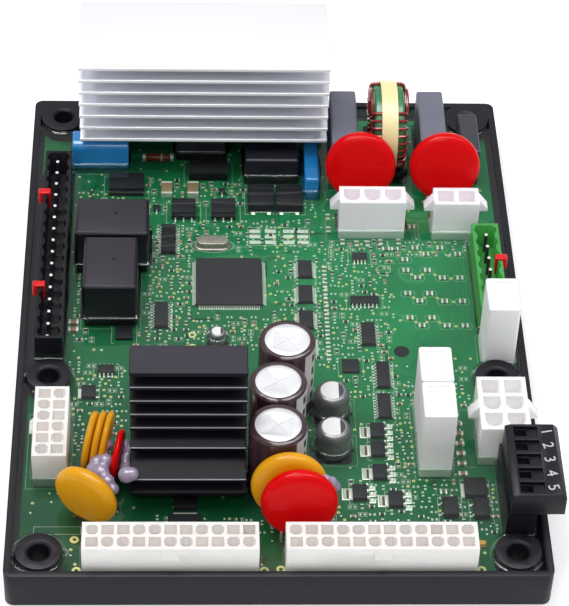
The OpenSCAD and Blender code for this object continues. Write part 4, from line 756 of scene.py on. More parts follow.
class BOARD_OT_circuit(bpy.types.Operator):
    """Dresses the board and lays its tracks, plated holes, pads and printed outlines"""
    bl_idname = "board.circuit"
    bl_label = "Circuit board"

    # Directions of the tracks, an eighth of a turn apart
    WAYS = [(1, 0), (0.7071, 0.7071), (0, 1), (-0.7071, 0.7071), (-1, 0), (-0.7071, -0.7071), (0, -1),
            (0.7071, -0.7071)]
    TRACK_PITCH = 0.75

    # Width and height of tracks and print
    TRACK = (0.38, 0.04)
    BRIGHT_PRINT = (0.18, 0.03)
    FAINT_PRINT = (0.22, 0.03)
    SMALL_PRINT = (0.14, 0.03)

    # Small parts lie on a grid and keep a square of ground round them
    GRID = 0.9
    SMALL_HALF = 0.85

    # Boxes that the small parts, their ends, the bare pads and the bare lands are made of
    RESISTOR = [((-0.5, -0.4, 0), (0.5, 0.4, 0.45))]
    CAPACITOR = [((-0.5, -0.4, 0), (0.5, 0.4, 0.7))]
    ENDS = [((-0.85, -0.42, 0), (-0.5, 0.42, 0.42)), ((0.5, -0.42, 0), (0.85, 0.42, 0.42))]
    PADS = [((-0.92, -0.36, 0), (-0.32, 0.36, 0.08)), ((0.32, -0.36, 0), (0.92, 0.36, 0.08))]
    LAND = [((-1.7, -0.75, 0), (1.7, 0.75, 0.06))]

    # Plated rings and eyes: inner radius, outer radius, height and steps
    RING = (0.2, 0.46, 0.05, 10)
    EYE = (0.55, 1.25, 0.06, 24)

    # Plated spots and the dark bottom of the open hole: radius, height and steps
    SPOT = (0.3, 0.05, 8)
    HOLE_SHADE = (BOARD_HOLE[2], 0.03, 32)

    # Holes in rows at the right: y of each row, and x of each hole with its distance from the row
    HOLE_ROWS = (34.8, 24.8, 14.7, 4.3)
    HOLE_COLUMNS = ((43.2, 1.6), (46.5, 1.6), (50.3, 1.7), (55.1, 3.3))

    # Places of single holes and of the large eyes
    SINGLE_HOLES = [(-5.5, 1.2), (-1.8, 0.4), (2.4, 3.2), (-8, -1), (6.4, 25), (6.8, 12), (36.5, 14.4),
                    (32.4, 14.2), (38.6, 3.4), (36.7, -0.4), (-23, 3), (-27, 25), (-27, 8), (34, 2),
                    (20.6, 34)]
    EYES = [(-54.7, -92.4), (-4, -92.4), (0.5, -92), (55, -92.2), (-23.5, -2.9), (-23.5, -7.9),
            (-55.6, -81.6)]

    def clear(self, line):
        """Whether a line stays on the board and off the bosses."""
        return all(abs(x) < TRACK_REACH[0] and abs(y) < TRACK_REACH[1] and
                   all(math.hypot(x - bx, y - by) > r + 2 for bx, by, r in BOSSES) for x, y in line)

    def tracks(self, count):
        """Bundles of tracks side by side, which turn by eighths from leg to leg."""
        rng = random.Random(11)
        lines = []
        while len(lines) < count:
            x, y = rng.uniform(-66, 66), rng.uniform(-92, 92)
            if 34 < x < 60 and -6 < y < 36 and rng.random() < 0.85:
                continue
            way = rng.choice((0, 2, 2, 4, 6, 6, 1, 3))
            across = rng.randint(1, 5)
            legs = [rng.uniform(2, 9) for _ in range(rng.randint(2, 4))]
            turns = [rng.choice((-1, 1)) for _ in legs]
            side = self.WAYS[(way + 2) % 8]
            for k in range(across):
                px, py = x + side[0] * self.TRACK_PITCH * k, y + side[1] * self.TRACK_PITCH * k
                line, heading = [(px, py)], way
                for leg, turn in zip(legs, turns):
                    px, py = px + self.WAYS[heading][0] * leg, py + self.WAYS[heading][1] * leg
                    line.append((px, py))
                    heading = (heading + turn) % 8
                if self.clear(line):
                    lines.append(line)
        return lines + [[(x, -4), (x, 35)] for x in (56.6, 57.5, 58.4, 59.3)]

    def bright_outlines(self):
        """White print: brackets at the chips, frames, an oval and rings."""
        lines = []
        for node in ("power_chip_bodies", "chip_bodies"):
            for low, high in islands(node):
                wide = high.x - low.x > 6 and high.y - low.y > 6
                gap, leg = (0.9, 1.2) if node == "power_chip_bodies" else (1.6 if wide else 1.2, 0.8)
                y0, y1 = low.y - gap, high.y + gap
                for x, tip in ((low.x - gap, low.x - gap + leg), (high.x + gap, high.x + gap - leg)):
                    lines.append([(tip, y0), (x, y0), (x, y1), (tip, y1)])
        lines += [rectangle(-66.8, -79.7, -54, -77), rectangle(-6.4, 35.8, 12.6, 43.8)]
        lines.append([(-17.3 + 6.6 * x, 35.6 + 3 * y) for x, y in closed_arc(1, 32, (0, 0))])
        for x, y, r in ((34.6, 24.9, 2.2), (45, -87.4, 1.2), (-58.2, -86, 1.1)):
            lines.append(closed_arc(r, 24, (x, y)))
        return lines

    def faint_outlines(self):
        """Weak print round the large parts, and with cut corners round the chip resistors at the right."""
        boxes = [(box_of(node), 0.9) for node in ("relay_1", "relay_2", "header_6_way", "header_3_way",
                                                  "header_2_way", "header_12_way")]
        for node, gap in (("cement_resistors", 0.9), ("low_can_bases", 0.7), ("black_modules", 0.8),
                          ("blue_capacitors", 0.8), ("grey_film_capacitors", 0.8)):
            boxes += [(box, gap) for box in islands(node)]
        lines = [rectangle(low.x - gap, low.y - gap, high.x + gap, high.y + gap) for (low, high), gap in boxes]
        cut = [(-2.1, -0.7), (-1.5, -1.35), (1.5, -1.35), (2.1, -0.7), (2.1, 0.7), (1.5, 1.35), (-1.5, 1.35),
               (-2.1, 0.7), (-2.1, -0.7)]
        for low, high in islands("chip_resistors"):
            if low.x > 40:
                middle = (low + high) / 2
                lines.append([(middle.x + x, middle.y + y) for x, y in cut])
        return lines

    def small_parts(self, ground, rng):
        """Chip parts and bare pads where the board is busy, some of them in a printed frame."""
        small = {"resistor": [], "capacitor": [], "pads": []}
        frames = []
        for x0, y0, x1, y1, count in CLUSTERS:
            tries = 0
            made = 0
            while made < count and tries < count * 30:
                tries += 1
                x = x0 + round(rng.uniform(0, x1 - x0) / self.GRID) * self.GRID
                y = y0 + round(rng.uniform(0, y1 - y0) / self.GRID) * self.GRID
                if not ground.free(x, y, self.SMALL_HALF):
                    continue
                ground.take(x, y, self.SMALL_HALF)
                kind = rng.choices(("resistor", "capacitor", "pads"), (3, 1, 6))[0]
                turn = rng.choice((0, math.pi / 2))
                small[kind].append((x, y, PRINT_LEVEL, 0, 0, turn))
                made += 1
                if rng.random() < 0.3:
                    w, l = (1.25, 0.75) if turn == 0 else (0.75, 1.25)
                    frames.append(rectangle(x - w, y - l, x + w, y + l))
        bodies = small["resistor"] + small["capacitor"]
        for name, boxes, places, finish_name, slot in (
                ("small_resistors", self.RESISTOR, small["resistor"], "resistor", "chip_dark"),
                ("small_capacitors", self.CAPACITOR, small["capacitor"], "chip_ceramic", "ceramic_brown"),
                ("small_ends", self.ENDS, bodies, "solder", "tinned_metal"),
                ("bare_pads", self.PADS, small["pads"], "print", "tinned_metal")):
            spread(name, box_shape(*boxes), places, finish_name)
        strips("small_print", frames, *self.SMALL_PRINT, PRINT_LEVEL, "print", "board_green")

    def holes(self, ground, rng, count):
        """Plated rings, filled spots and large eyes."""
        vias, dots = [], []
        areas = [cluster[:4] for cluster in CLUSTERS] + [(-68, -92, 68, 92)]
        weights = [cluster[4] for cluster in CLUSTERS] + [120]
        tries = 0
        while len(vias) + len(dots) < count and tries < 20000:
            tries += 1
            x0, y0, x1, y1 = rng.choices(areas, weights)[0]
            x, y = rng.uniform(x0, x1), rng.uniform(y0, y1)
            if 36 < x < 62 and -6 < y < 36:
                continue
            if ground.free(x, y, 0.5, 0.2):
                ground.take(x, y, 0.45)
                (vias if rng.random() < 0.45 else dots).append((x, y))
        vias += [(x, row - drop) for row in self.HOLE_ROWS for x, drop in self.HOLE_COLUMNS]
        vias += self.SINGLE_HOLES
        for name, shape, points, finish_name, slot in (
                ("plated_rings", ring_shape(*self.RING), vias, "gold", "pin_brass"),
                ("plated_spots", disc_shape(*self.SPOT), dots, "solder", "tinned_metal"),
                ("plated_eyes", ring_shape(*self.EYE), self.EYES, "gold", "pin_brass")):
            spread(name, shape, [(x, y, HOLE_LEVEL) for x, y in points], finish_name)

    def execute(self, context):
        sizes = context.scene.board_sizes
        dress("circuit_board", "mask")
        for name, lines, size, level, finish_name in (
                ("board_tracks", self.tracks(sizes.track_count), self.TRACK, BOARD_TOP, "track"),
                ("board_print", self.bright_outlines(), self.BRIGHT_PRINT, PRINT_LEVEL, "print"),
                ("board_outlines", self.faint_outlines(), self.FAINT_PRINT, PRINT_LEVEL, "faint_print")):
            strips(name, lines, *size, level, finish_name, "board_green")
        spread("board_hole_shade", disc_shape(*self.HOLE_SHADE), [(*BOARD_HOLE[:2], BOARD_TOP + 0.015)],
               "tray")
        ground = Ground()
        rng = random.Random(5)
        self.small_parts(ground, rng)
        self.holes(ground, rng, sizes.via_count)
        lands = [(x, y, PRINT_LEVEL) for x in (-4.2, 0.6, 6.2, 10.6) for y in (42.2, 39.8, 37.2)]
        spread("bare_lands", box_shape(*self.LAND), lands, "solder")
        return {"FINISHED"}


class Surface:
    """The resin's surface as a grid of points: how near things stand to each, and where it is left open."""

    # The surface goes this far into headers and bosses, and lies low this near to a boss
    HEADER_LAP = 0.35
    BOSS_LAP = 0.9
    BOSS_REACH = 1.3
    BOSS_DIP = 0.02

    # How far the surface lies below the resin's top, how far it rises in the corners at the back,
    # and its highest level at the tray's walls
    SETTLED = 0.05
    CORNER_RISE = 0.3
    WALL_LEVEL = 11.9

    # Slow waves: how many, their height, and how fast they may change along an axis
    WAVES = 9
    WAVE_HEIGHT = 0.012
    WAVE_RATE = 0.35

    # Spine of the large heat sink from front to back, and how deep the small one's is
    LARGE_SPINE = (91.5, 95.0)
    SMALL_SPINE = 3.4

    def __init__(self, low, high, step):
        self.x, self.y = np.meshgrid(*(np.linspace(a, b, round((b - a) / step) + 1)
                                       for a, b in ((low.x, high.x), (low.y, high.y))))
        self.edge = self.depth(low.x, low.y, high.x, high.y)
        self.near = self.edge
        self.hollow = np.zeros(self.x.shape, dtype=bool)

    def depth(self, x0, y0, x1, y1):
        """How deep every point lies inside a rectangle, below zero outside it."""
        return np.minimum(np.minimum(self.x - x0, x1 - self.x), np.minimum(self.y - y0, y1 - self.y))

    def meet(self, x0, y0, x1, y1):
        """Takes in a rectangle that stands in the resin, and gives back how far every point is from it."""
        inside = self.depth(x0, y0, x1, y1)
        dx = np.maximum(np.maximum(x0 - self.x, self.x - x1), 0)
        dy = np.maximum(np.maximum(y0 - self.y, self.y - y1), 0)
        away = np.where(inside > 0, -inside, np.hypot(dx, dy))
        self.near = np.minimum(self.near, away)
        return away

    def meet_headers(self):
        """The headers, whose cells stay free of resin."""
        for node in HEADERS:
            low, high = header_body(node)
            self.hollow |= self.meet(low.x, low.y, high.x, high.y) < -self.HEADER_LAP

    def meet_parts(self):
        """Square and round parts that come up through the surface."""
        for node in ("relay_1", "relay_2", "cement_resistors", "grey_film_capacitors", "dark_film_capacitor",
                     "blue_capacitors", "black_modules", "choke_base"):
            for low, high in islands(node):
                if high.z > RESIN_TOP:
                    self.meet(low.x, low.y, high.x, high.y)
        for node in ("tall_can_sleeves", "low_can_bodies"):
            for low, high in islands(node):
                if high.z > RESIN_TOP + 0.3:
                    c, r = (low + high) / 2, (high.x - low.x) / 2
                    self.near = np.minimum(self.near, np.hypot(self.x - c.x, self.y - c.y) - r)

    def meet_discs(self):
        """The feet of the discs: across the tray, or along it where a disc is turned."""
        for node in ("varistors_back", "varistors_yellow", "discs_front_red", "thin_discs_yellow"):
            for low, high in islands(node):
                c = (low + high) / 2
                if high.y - low.y < high.x - low.x:
                    self.meet(c.x - 5, low.y + 0.2, c.x + 5, low.y + 4.4)
                else:
                    self.meet(low.x, c.y - 4, high.x, c.y + 4)

    def meet_sinks(self):
        """The spines of both heat sinks."""
        low, high = box_of("large_heat_sink")
        self.meet(low.x + 2, self.LARGE_SPINE[0], high.x - 2, self.LARGE_SPINE[1])
        low, high = box_of("small_heat_sink")
        self.meet(low.x, high.y - self.SMALL_SPINE, high.x, high.y)

    def levels(self, height, reach):
        """Heights of the points: drawn up at what they meet, low at the bosses, with slow waves."""
        rise = height * np.exp(-np.maximum(self.near, 0) / reach)
        for bx, by, r in BOSSES:
            away = np.hypot(self.x - bx, self.y - by) - r
            rise = np.where(away < self.BOSS_REACH, np.minimum(rise, -self.BOSS_DIP), rise)
            self.hollow |= away < -self.BOSS_LAP
            if by > 80:
                corner = (self.x * math.copysign(1, bx) > abs(bx)) & (self.y > by)
                rise = np.where(corner, self.CORNER_RISE, rise)
        rng = random.Random(3)
        waves = np.zeros(self.x.shape)
        for _ in range(self.WAVES):
            kx = rng.uniform(-self.WAVE_RATE, self.WAVE_RATE)
            ky = rng.uniform(-self.WAVE_RATE, self.WAVE_RATE)
            waves += np.sin(self.x * kx + self.y * ky + rng.uniform(0, 6.3))
        top = RESIN_TOP - self.SETTLED + rise + self.WAVE_HEIGHT * waves
        return np.where(self.edge < 1e-6, np.minimum(top, self.WALL_LEVEL), top)

    def shape(self, top):
        """The surface as a bmesh, closed by a skirt down to the board and by an underside."""
        index = np.arange(top.size).reshape(top.shape)
        corners = [np.s_[:-1, :-1], np.s_[:-1, 1:], np.s_[1:, 1:], np.s_[1:, :-1]]
        open_cells = np.all([self.hollow[corner] for corner in corners], axis=0)
        quads = np.stack([index[corner] for corner in corners], axis=-1)[~open_cells]
        verts = np.stack([self.x.ravel(), self.y.ravel(), top.ravel()], axis=1) * MM
        mesh = bpy.data.meshes.new("resin_top")
        mesh.from_pydata(verts.tolist(), [], quads.tolist())
        bm = bmesh.new()
        bm.from_mesh(mesh)
        bpy.data.meshes.remove(mesh)
        bmesh.ops.delete(bm, geom=[v for v in bm.verts if not v.link_faces], context="VERTS")
        rim = [e for e in bm.edges if len(e.link_faces) == 1]
        skirt = bmesh.ops.extrude_edge_only(bm, edges=rim)["geom"]
        fresh = {v for v in skirt if isinstance(v, bmesh.types.BMVert)}
        for vert in fresh:
            vert.co.z = RESIN_FOOT * MM
        below = [e for e in skirt if isinstance(e, bmesh.types.BMEdge) and all(v in fresh for v in e.verts)]
        made = bmesh.ops.triangle_fill(bm, edges=below, use_beauty=True, use_dissolve=False)["geom"]
        under = [f for f in made if isinstance(f, bmesh.types.BMFace)]
        if not under:
            raise RuntimeError("the resin has no underside")
        for face in under:
            if face.normal.z > 0:
                face.normal_flip()
        return bm


class BOARD_OT_resin(bpy.types.Operator):
    """Pours the clear resin, which creeps up what stands in it"""
    bl_idname = "board.resin"
    bl_label = "Clear resin"

    # Height and width of the curve at bosses, at headers and relays, and at other parts
    BOSS_CURVE = (0.95, 1.3)
    HEADER_CURVE = (0.7, 0.9)
    PART_CURVE = (0.65, 0.8)

    # Other parts that the resin climbs: radius of their corners, or 0 where they are round
    CORNERS = {"cement_resistors": 0.8, "blue_capacitors": 1, "black_modules": 0.5,
               "grey_film_capacitors": 0.5, "low_can_bodies": 0, "tall_can_sleeves": 0}
    HEADER_CORNER = 0.5

    def menisci(self):
        """The curves that climb bosses, headers, relays and other tall parts."""
        rings = bmesh.new()
        for boss in BOSSES:
            fillet_into(rings, circle_outline(*boss), *self.BOSS_CURVE)
        for node in (*HEADERS, "relay_1", "relay_2"):
            fillet_into(rings, box_outline(*header_body(node), self.HEADER_CORNER), *self.HEADER_CURVE)
        for node, corner in self.CORNERS.items():
            for low, high in islands(node):
                if high.z > RESIN_TOP + 0.8:
                    c, r = (low + high) / 2, (high.x - low.x) / 2
                    outline = box_outline(low, high, corner) if corner else circle_outline(c.x, c.y, r)
                    fillet_into(rings, outline, *self.PART_CURVE)
        from_bmesh("resin_menisci", rings, "resin", smooth=60)

    def surround(self, low, high):
        """The dark gap between the board and the tray's walls, filled with tray plastic, and a dark sheet over
        the ground beside two headers, which is a painted reflection of the resin there.
        """
        inner, outer = box_of("circuit_board")
        floor, level = 6, BOARD_TOP + 0.03
        gap = [((low.x, low.y, floor), (inner.x, high.y, level)),
               ((outer.x, low.y, floor), (high.x, high.y, level)),
               ((inner.x, low.y, floor), (outer.x, inner.y, level)),
               ((inner.x, outer.y, floor), (outer.x, high.y, level))]
        # Dark sheets over the board beside these two headers: a painted dark reflection of the resin
        for node in ("header_16_way", "header_7_way"):
            a, b = box_of(node)
            x0, x1 = (low.x, a.x + 0.2) if a.x < 0 else (b.x - 0.2, high.x)
            gap.append(((x0, a.y - 2, floor), (x1, b.y + 2, BOARD_TOP + 0.06)))
        boxes_piece("board_surround", gap, "tray")

    def execute(self, context):
        sizes = context.scene.board_sizes
        low, high = box_of("potting_resin")
        surface = Surface(low, high, sizes.resin_step)
        surface.meet_headers()
        surface.meet_parts()
        surface.meet_discs()
        surface.meet_sinks()
        shape = surface.shape(surface.levels(sizes.meniscus_height, sizes.meniscus_reach))
        piece = from_bmesh("resin_surface", shape, "resin", smooth=60)
        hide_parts("potting_resin")
        face_finish(piece, "mask", lambda n, c: n.z < -0.5 and c.z < RESIN_FOOT + 0.01)
        self.menisci()
        self.surround(low, high)
        return {"FINISHED"}


class BOARD_OT_heat_sinks(bpy.types.Operator):
    """Makes both heat sinks with broken edges, and what is clamped to them"""
    bl_idname = "board.heat_sinks"
    bl_label = "Heat sinks"

    def execute(self, context):
        large = rounded_copy("large_heat_sink", "bare_aluminium", 0.14, 2)
        top = box_of("large_heat_sink")[1].z
        # Painted highlight: the fin tips that face the front are near white
        face_finish(large, "large_sink_painted_highlight", lambda n, c: n.y < -0.7 and c.z > 20)
        # Painted highlight: the top faces get a lighter, less metallic finish for the light from above
        face_finish(large, "large_sink_painted_lit_top", lambda n, c: n.z > 0.5 and c.z > top - 1)
        small = rounded_copy("small_heat_sink", "black_anodised", 0.22, 1)
        high = box_of("small_heat_sink")[1]
        # Painted light: the top faces at the back get a lighter copy of the black anodising
        face_finish(small, "small_sink_painted_lit_top", lambda n, c: n.z > 0.9 and c.y > high.y - 12 and c.z > high.z - 1)
        # Painted highlight: the upper front bevels of the fins are pale
        face_finish(small, "small_sink_painted_highlight", lambda n, c: n.y < -0.3 and n.z > 0.3 and 18 < c.z < high.z - 3)
        rounded_copy("power_devices", "module", 0.25, 2)
        rounded_copy("power_device_tabs", "tinned", 0.1, 1)
        rounded_copy("sink_screws", "tinned", 0.15, 2)
        dress("component_leads", "tinned")
        return {"FINISHED"}


class BOARD_OT_headers(bpy.types.Operator):
    """Makes the moulded headers with their pins"""
    bl_idname = "board.headers"
    bl_label = "Headers"

    # White and clear headers: finish, finish of the cells, which paints the shade and light in them, rounding
    # and its steps, and where the cells start behind the body's left, right and front
    MOULDED = (
        ("header_22_way", "nylon", "nylon_cell", 0.13, 1, (0.6, 0.6, 0.4)),
        ("header_24_way", "nylon", "nylon_cell", 0.13, 1, (0.6, 0.6, 0.4)),
        ("header_12_way", "nylon", "nylon_cell", 0.13, 1, (0.3, 1.5, 0.6)),
        ("header_3_way", "milky_nylon", "milky_cell", 0.3, 2, (1.2, 1.2, 0.6)),
        ("header_2_way", "milky_nylon", "milky_cell", 0.3, 2, (1.2, 1.2, 0.6)),
        ("header_6_way", "clear_nylon", "clear_cell", 0.3, 2, (1.2, 1.2, 0.6)),
    )

    def execute(self, context):
        for node, finish_name, cell, width, steps, (left, right, front) in self.MOULDED:
            piece = rounded_copy(node, finish_name, width, steps, angle=50)
            low, high = header_body(node)
            # The cells get their own finish: painted shade in the white headers, painted light in the milky
            # and clear ones
            face_finish(piece, cell, lambda n, c: (
                low.x + left < c.x < high.x - right and low.y + front < c.y < high.y - 0.6
                and low.z + 1.5 < c.z < high.z - 0.45))
        for node, finish_name in (("header_16_way", "black_moulding"), ("header_5_way", "black_moulding"),
                                  ("header_7_way", "green_moulding")):
            rounded_copy(node, finish_name, 0.15, 1, angle=50)
        rounded_copy("fine_header_pins", "brass", 0.18, 1)
        rounded_copy("coarse_header_pins", "tinned", 0.3, 2, angle=50)
        # Painted shade: the pins' sides are dark, and their tops keep the solder colour
        pins = rounded_copy("pluggable_header_pins", "pin_side", 0.22, 1)
        face_finish(pins, "solder", lambda n, c: n.z > 0.5)
        rounded_copy("coding_keys", "key_red", 0.25, 2, angle=50)
        return {"FINISHED"}


class BOARD_OT_plug(bpy.types.Operator):
    """Makes the five way plug with its pockets, screws and numbers"""
    bl_idname = "board.plug"
    bl_label = "Five way plug"

    def digit(self, text):
        """A flat printed digit as a mesh, upright at the origin."""
        curve = bpy.data.curves.new("digit", "FONT")
        curve.body = text
        curve.size = 4.4 * MM
        curve.extrude = 0.02 * MM
        curve.align_x = "CENTER"
        curve.align_y = "CENTER"
        return evaluated_mesh(link("digit", curve), "digit")

    def execute(self, context):
        rounded_copy("plug_5_way", "black_moulding", 0.3, 2, angle=40)
        rounded_copy("plug_screws", "tinned", 0.12, 1)
        low, high = box_of("plug_5_way")
        middle = (low.y + high.y) / 2
        bm = bmesh.new()
        for i in range(5):
            mesh = self.digit(str(5 - i))
            place = Vector((high.x - 3.6, middle + (i - 2) * PLUG_PITCH, high.z + 0.02)) * MM
            mesh.transform(Matrix.Translation(place) @ Matrix.Rotation(math.radians(-78), 4, "Z"))
            bm.from_mesh(mesh)
            bpy.data.meshes.remove(mesh)
        bmesh.ops.remove_doubles(bm, verts=bm.verts, dist=1e-7)
        from_bmesh("plug_numbers", bm, "digit", smooth=0)
        return {"FINISHED"}


class BOARD_OT_relays(bpy.types.Operator):
    """Makes the relays"""
    bl_idname = "board.relays"
    bl_label = "Relays"

    def execute(self, context):
        nibs, panels = [], []
        for node in ("relay_1", "relay_2"):
            rounded_copy(node, "relay", 0.45, 3)
            low, high = box_of(node)
            nibs.append(((low.x + high.x) / 2 + 1, (low.y + high.y) / 2 + 1, high.z))
            # Each relay top gets a grey panel: a painted reflection on the black cover
            panels.append(((low.x + 0.9, low.y + 0.9, high.z - 0.1),
                           (high.x - 0.9, high.y - 0.9, high.z + 0.04)))
        boxes_piece("relay_panels", panels, "relay_painted_reflection", rounding=0.03)
        nib = lathe_shape([(0, 0), (0.75, 0), (0.65, 0.14), (0.3, 0.2), (0, 0.2)], 16)
        spread("relay_nibs", nib, nibs, "relay")
        return {"FINISHED"}


class BOARD_OT_resistors(bpy.types.Operator):
    """Makes the upright cement resistors"""
    bl_idname = "board.resistors"
    bl_label = "Cement resistors"

    def execute(self, context):
        rounded_copy("cement_resistors", "ceramic", 0.55, 3, angle=40)
        rounded_copy("cement_fills", "cement", 0.1, 1)
        return {"FINISHED"}


class BOARD_OT_cans(bpy.types.Operator):
    """Makes the round capacitors with their sleeves and marks"""
    bl_idname = "board.cans"
    bl_label = "Round capacitors"

    def patch(self, bm, centre, inner, outer, start, end, z0, z1):
        """A curved closed patch on a cylinder, between two radii and two angles in degrees."""
        sides = [arc(radius, start, end, 12, (centre.x, centre.y)) for radius in (inner, outer)]
        rows = [verts_into(bm, [(*a, z0), (*b, z0), (*b, z1), (*a, z1)]) for a, b in zip(*sides)]
        for one, two in zip(rows, rows[1:]):
            band_into(bm, one, two)
        bm.faces.new(rows[0])
        bm.faces.new(rows[-1][::-1])

    def stripes(self):
        """The pale stripe on every sleeve, and its marks."""
        stripe, marks = bmesh.new(), bmesh.new()
        for low, high in islands("tall_can_sleeves"):
            c, r = (low + high) / 2, (high.x - low.x) / 2
            self.patch(stripe, c, r, r + 0.04, -52, 2, low.z + 4.2, high.z - 0.9)
            for z in (6.5, 11.5, 16.5, 21.5):
                self.patch(marks, c, r + 0.02, r + 0.07, -30, -20, low.z + z - 1.3, low.z + z + 1.3)
        from_bmesh("sleeve_stripes", stripe, "sleeve_stripe", outward=True)
        from_bmesh("sleeve_marks", marks, "sleeve", outward=True)

    def low_cans(self):
        """The low capacitors with rolled shoulders and a dark sector on top."""
        sides, tops, sectors = bmesh.new(), bmesh.new(), bmesh.new()
        for low, high in islands("low_can_bodies"):
            c, r, top = (low + high) / 2, (high.x - low.x) / 2, high.z - 0.03
            flat = r * 0.68
            place = Matrix.Translation(Vector((c.x, c.y, 0)) * MM)
            shoulder = [(r - (r - flat) * (1 - x), top - r * 0.5 * (1 - y)) for x, y in arc(1, 0, 90, 6)]
            lathe_into(sides, [(0, low.z), (r, low.z), *shoulder, (0, top)], 48, place)
            under, over = high.z - 0.05, high.z - 0.01
            lathe_into(tops, [(0, under), (flat, under), (flat, over), (0, over)], 48, place)
            prism_into(sectors, arc(flat * 0.98, -58, 58, 20, (c.x, c.y)), top, high.z)
        body = from_bmesh("low_can_sides", sides, "can_side", smooth=50)
        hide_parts("low_can_bodies")
        from_bmesh("low_can_tops", tops, "can_top")
        from_bmesh("low_can_sectors", sectors, "can_mark")

    def execute(self, context):
        rounded_copy("tall_can_sleeves", "sleeve", 0, smooth=50)
        rounded_copy("tall_can_bodies", "can", 0.08, 1, angle=40, smooth=40)
        rounded_copy("low_can_bases", "black_moulding", 0.15, 1)
        self.stripes()
        self.low_cans()
        return {"FINISHED"}


class BOARD_OT_films(bpy.types.Operator):
    """Makes the film capacitors and the moulded modules"""
    bl_idname = "board.films"
    bl_label = "Film capacitors"

    def execute(self, context):
        rounded_copy("grey_film_capacitors", "film_grey", 0.5, 3)
        rounded_copy("dark_film_capacitor", "film_dark", 0.4, 3)
        rounded_copy("blue_capacitors", "film_blue", 0.8, 4, angle=40, smooth=60)
        rounded_copy("black_modules", "module", 0.35, 2)
        return {"FINISHED"}


class BOARD_OT_discs(bpy.types.Operator):
    """Makes the coated discs, with the coating run down onto their wires"""
    bl_idname = "board.discs"
    bl_label = "Discs"

    COATINGS = {"varistors_back": "disc_red", "varistors_yellow": "disc_yellow", "discs_front_red": "disc_red",
                "thin_discs_yellow": "disc_yellow"}

    # The thin discs' turn and the front left disc's turn in degrees, the legs' radius and their distance from
    # the middle as a share of the disc
    THIN_TURN = 79.9
    LEFT_TURN = -30
    LEG_RADIUS = 0.75
    LEG_SHARE = 0.22

    def footing(self, node, low, high):
        """The middle between a disc's two legs, and the angle in degrees at which they stand."""
        c = (low + high) / 2
        if node == "thin_discs_yellow" or node == "discs_front_red" and c.x < -43.5:
            return c.x - 0.06 * max(high.x - low.x, high.y - low.y), c.y, self.THIN_TURN
        if c.x < -30:
            return c.x, c.y, self.LEFT_TURN
        return c.x, low.y + 2.2, 0

    def execute(self, context):
        for node, coating in self.COATINGS.items():
            rounded_copy(node, coating, 0, smooth=60)
        for node in ("varistors_back", "discs_front_red", "varistors_yellow", "thin_discs_yellow"):
            legs = bmesh.new()
            for low, high in islands(node):
                x, y, angle = self.footing(node, low, high)
                reach = self.LEG_SHARE * max(high.x - low.x, high.y - low.y)
                heights = (low.z + 1.6, low.z + 0.2, low.z - 0.8, max(low.z - 1.6, RESIN_TOP - 1.5))
                for px, py in arc(reach, angle + 180, angle, 1, (x, y)):
                    tube_into(legs, [(px, py, z) for z in heights], self.LEG_RADIUS, 10)
            from_bmesh(node + "_legs", legs, self.COATINGS[node])
        return {"FINISHED"}


class BOARD_OT_adhesive(bpy.types.Operator):
    """Lays the set adhesive between the discs"""
    bl_idname = "board.adhesive"
    bl_label = "Set adhesive"

    # Lumps that run together: their middles and radii
    LUMPS = {
        "adhesive_left": [
            ((-46.6, -57.2, 19), 1.4), ((-48.3, -59.7, 18.4), 1.6), ((-49.9, -62.2, 17.4), 1.9),
            ((-50.8, -64, 16), 2.1), ((-48.6, -65.3, 16.5), 2.5), ((-46.7, -68.2, 16), 2.1),
            ((-45, -70.2, 15), 1.7), ((-47.4, -62.4, 18), 2.1), ((-48.5, -66, 13.6), 2.5),
            ((-49.5, -63, 13.6), 2.3), ((-46.5, -68.5, 13), 2.2)],
        "adhesive_right": [
            ((-42.1, -55.8, 18), 1.3), ((-41.6, -57.6, 17.4), 1.5), ((-42, -60, 16.4), 1.6),
            ((-40.2, -58.9, 18.6), 0.9), ((-41.9, -62.4, 15), 2.0), ((-41.3, -64.6, 15), 2.2),
            ((-41.5, -67.6, 18), 2.0), ((-41.4, -70.6, 21.4), 2.4), ((-39.9, -70.9, 22.1), 2.0)],
        "adhesive_front": [
            ((12.4, -76.6, 26.4), 1.5), ((13.9, -76.2, 24.6), 1.9), ((15, -76, 22.8), 1.8),
            ((13.6, -76.6, 21.6), 1.7)],
    }

    def execute(self, context):
        pieces = [blob(name, lumps, "glue") for name, lumps in self.LUMPS.items()]
        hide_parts("glue_beads")
        return {"FINISHED"}


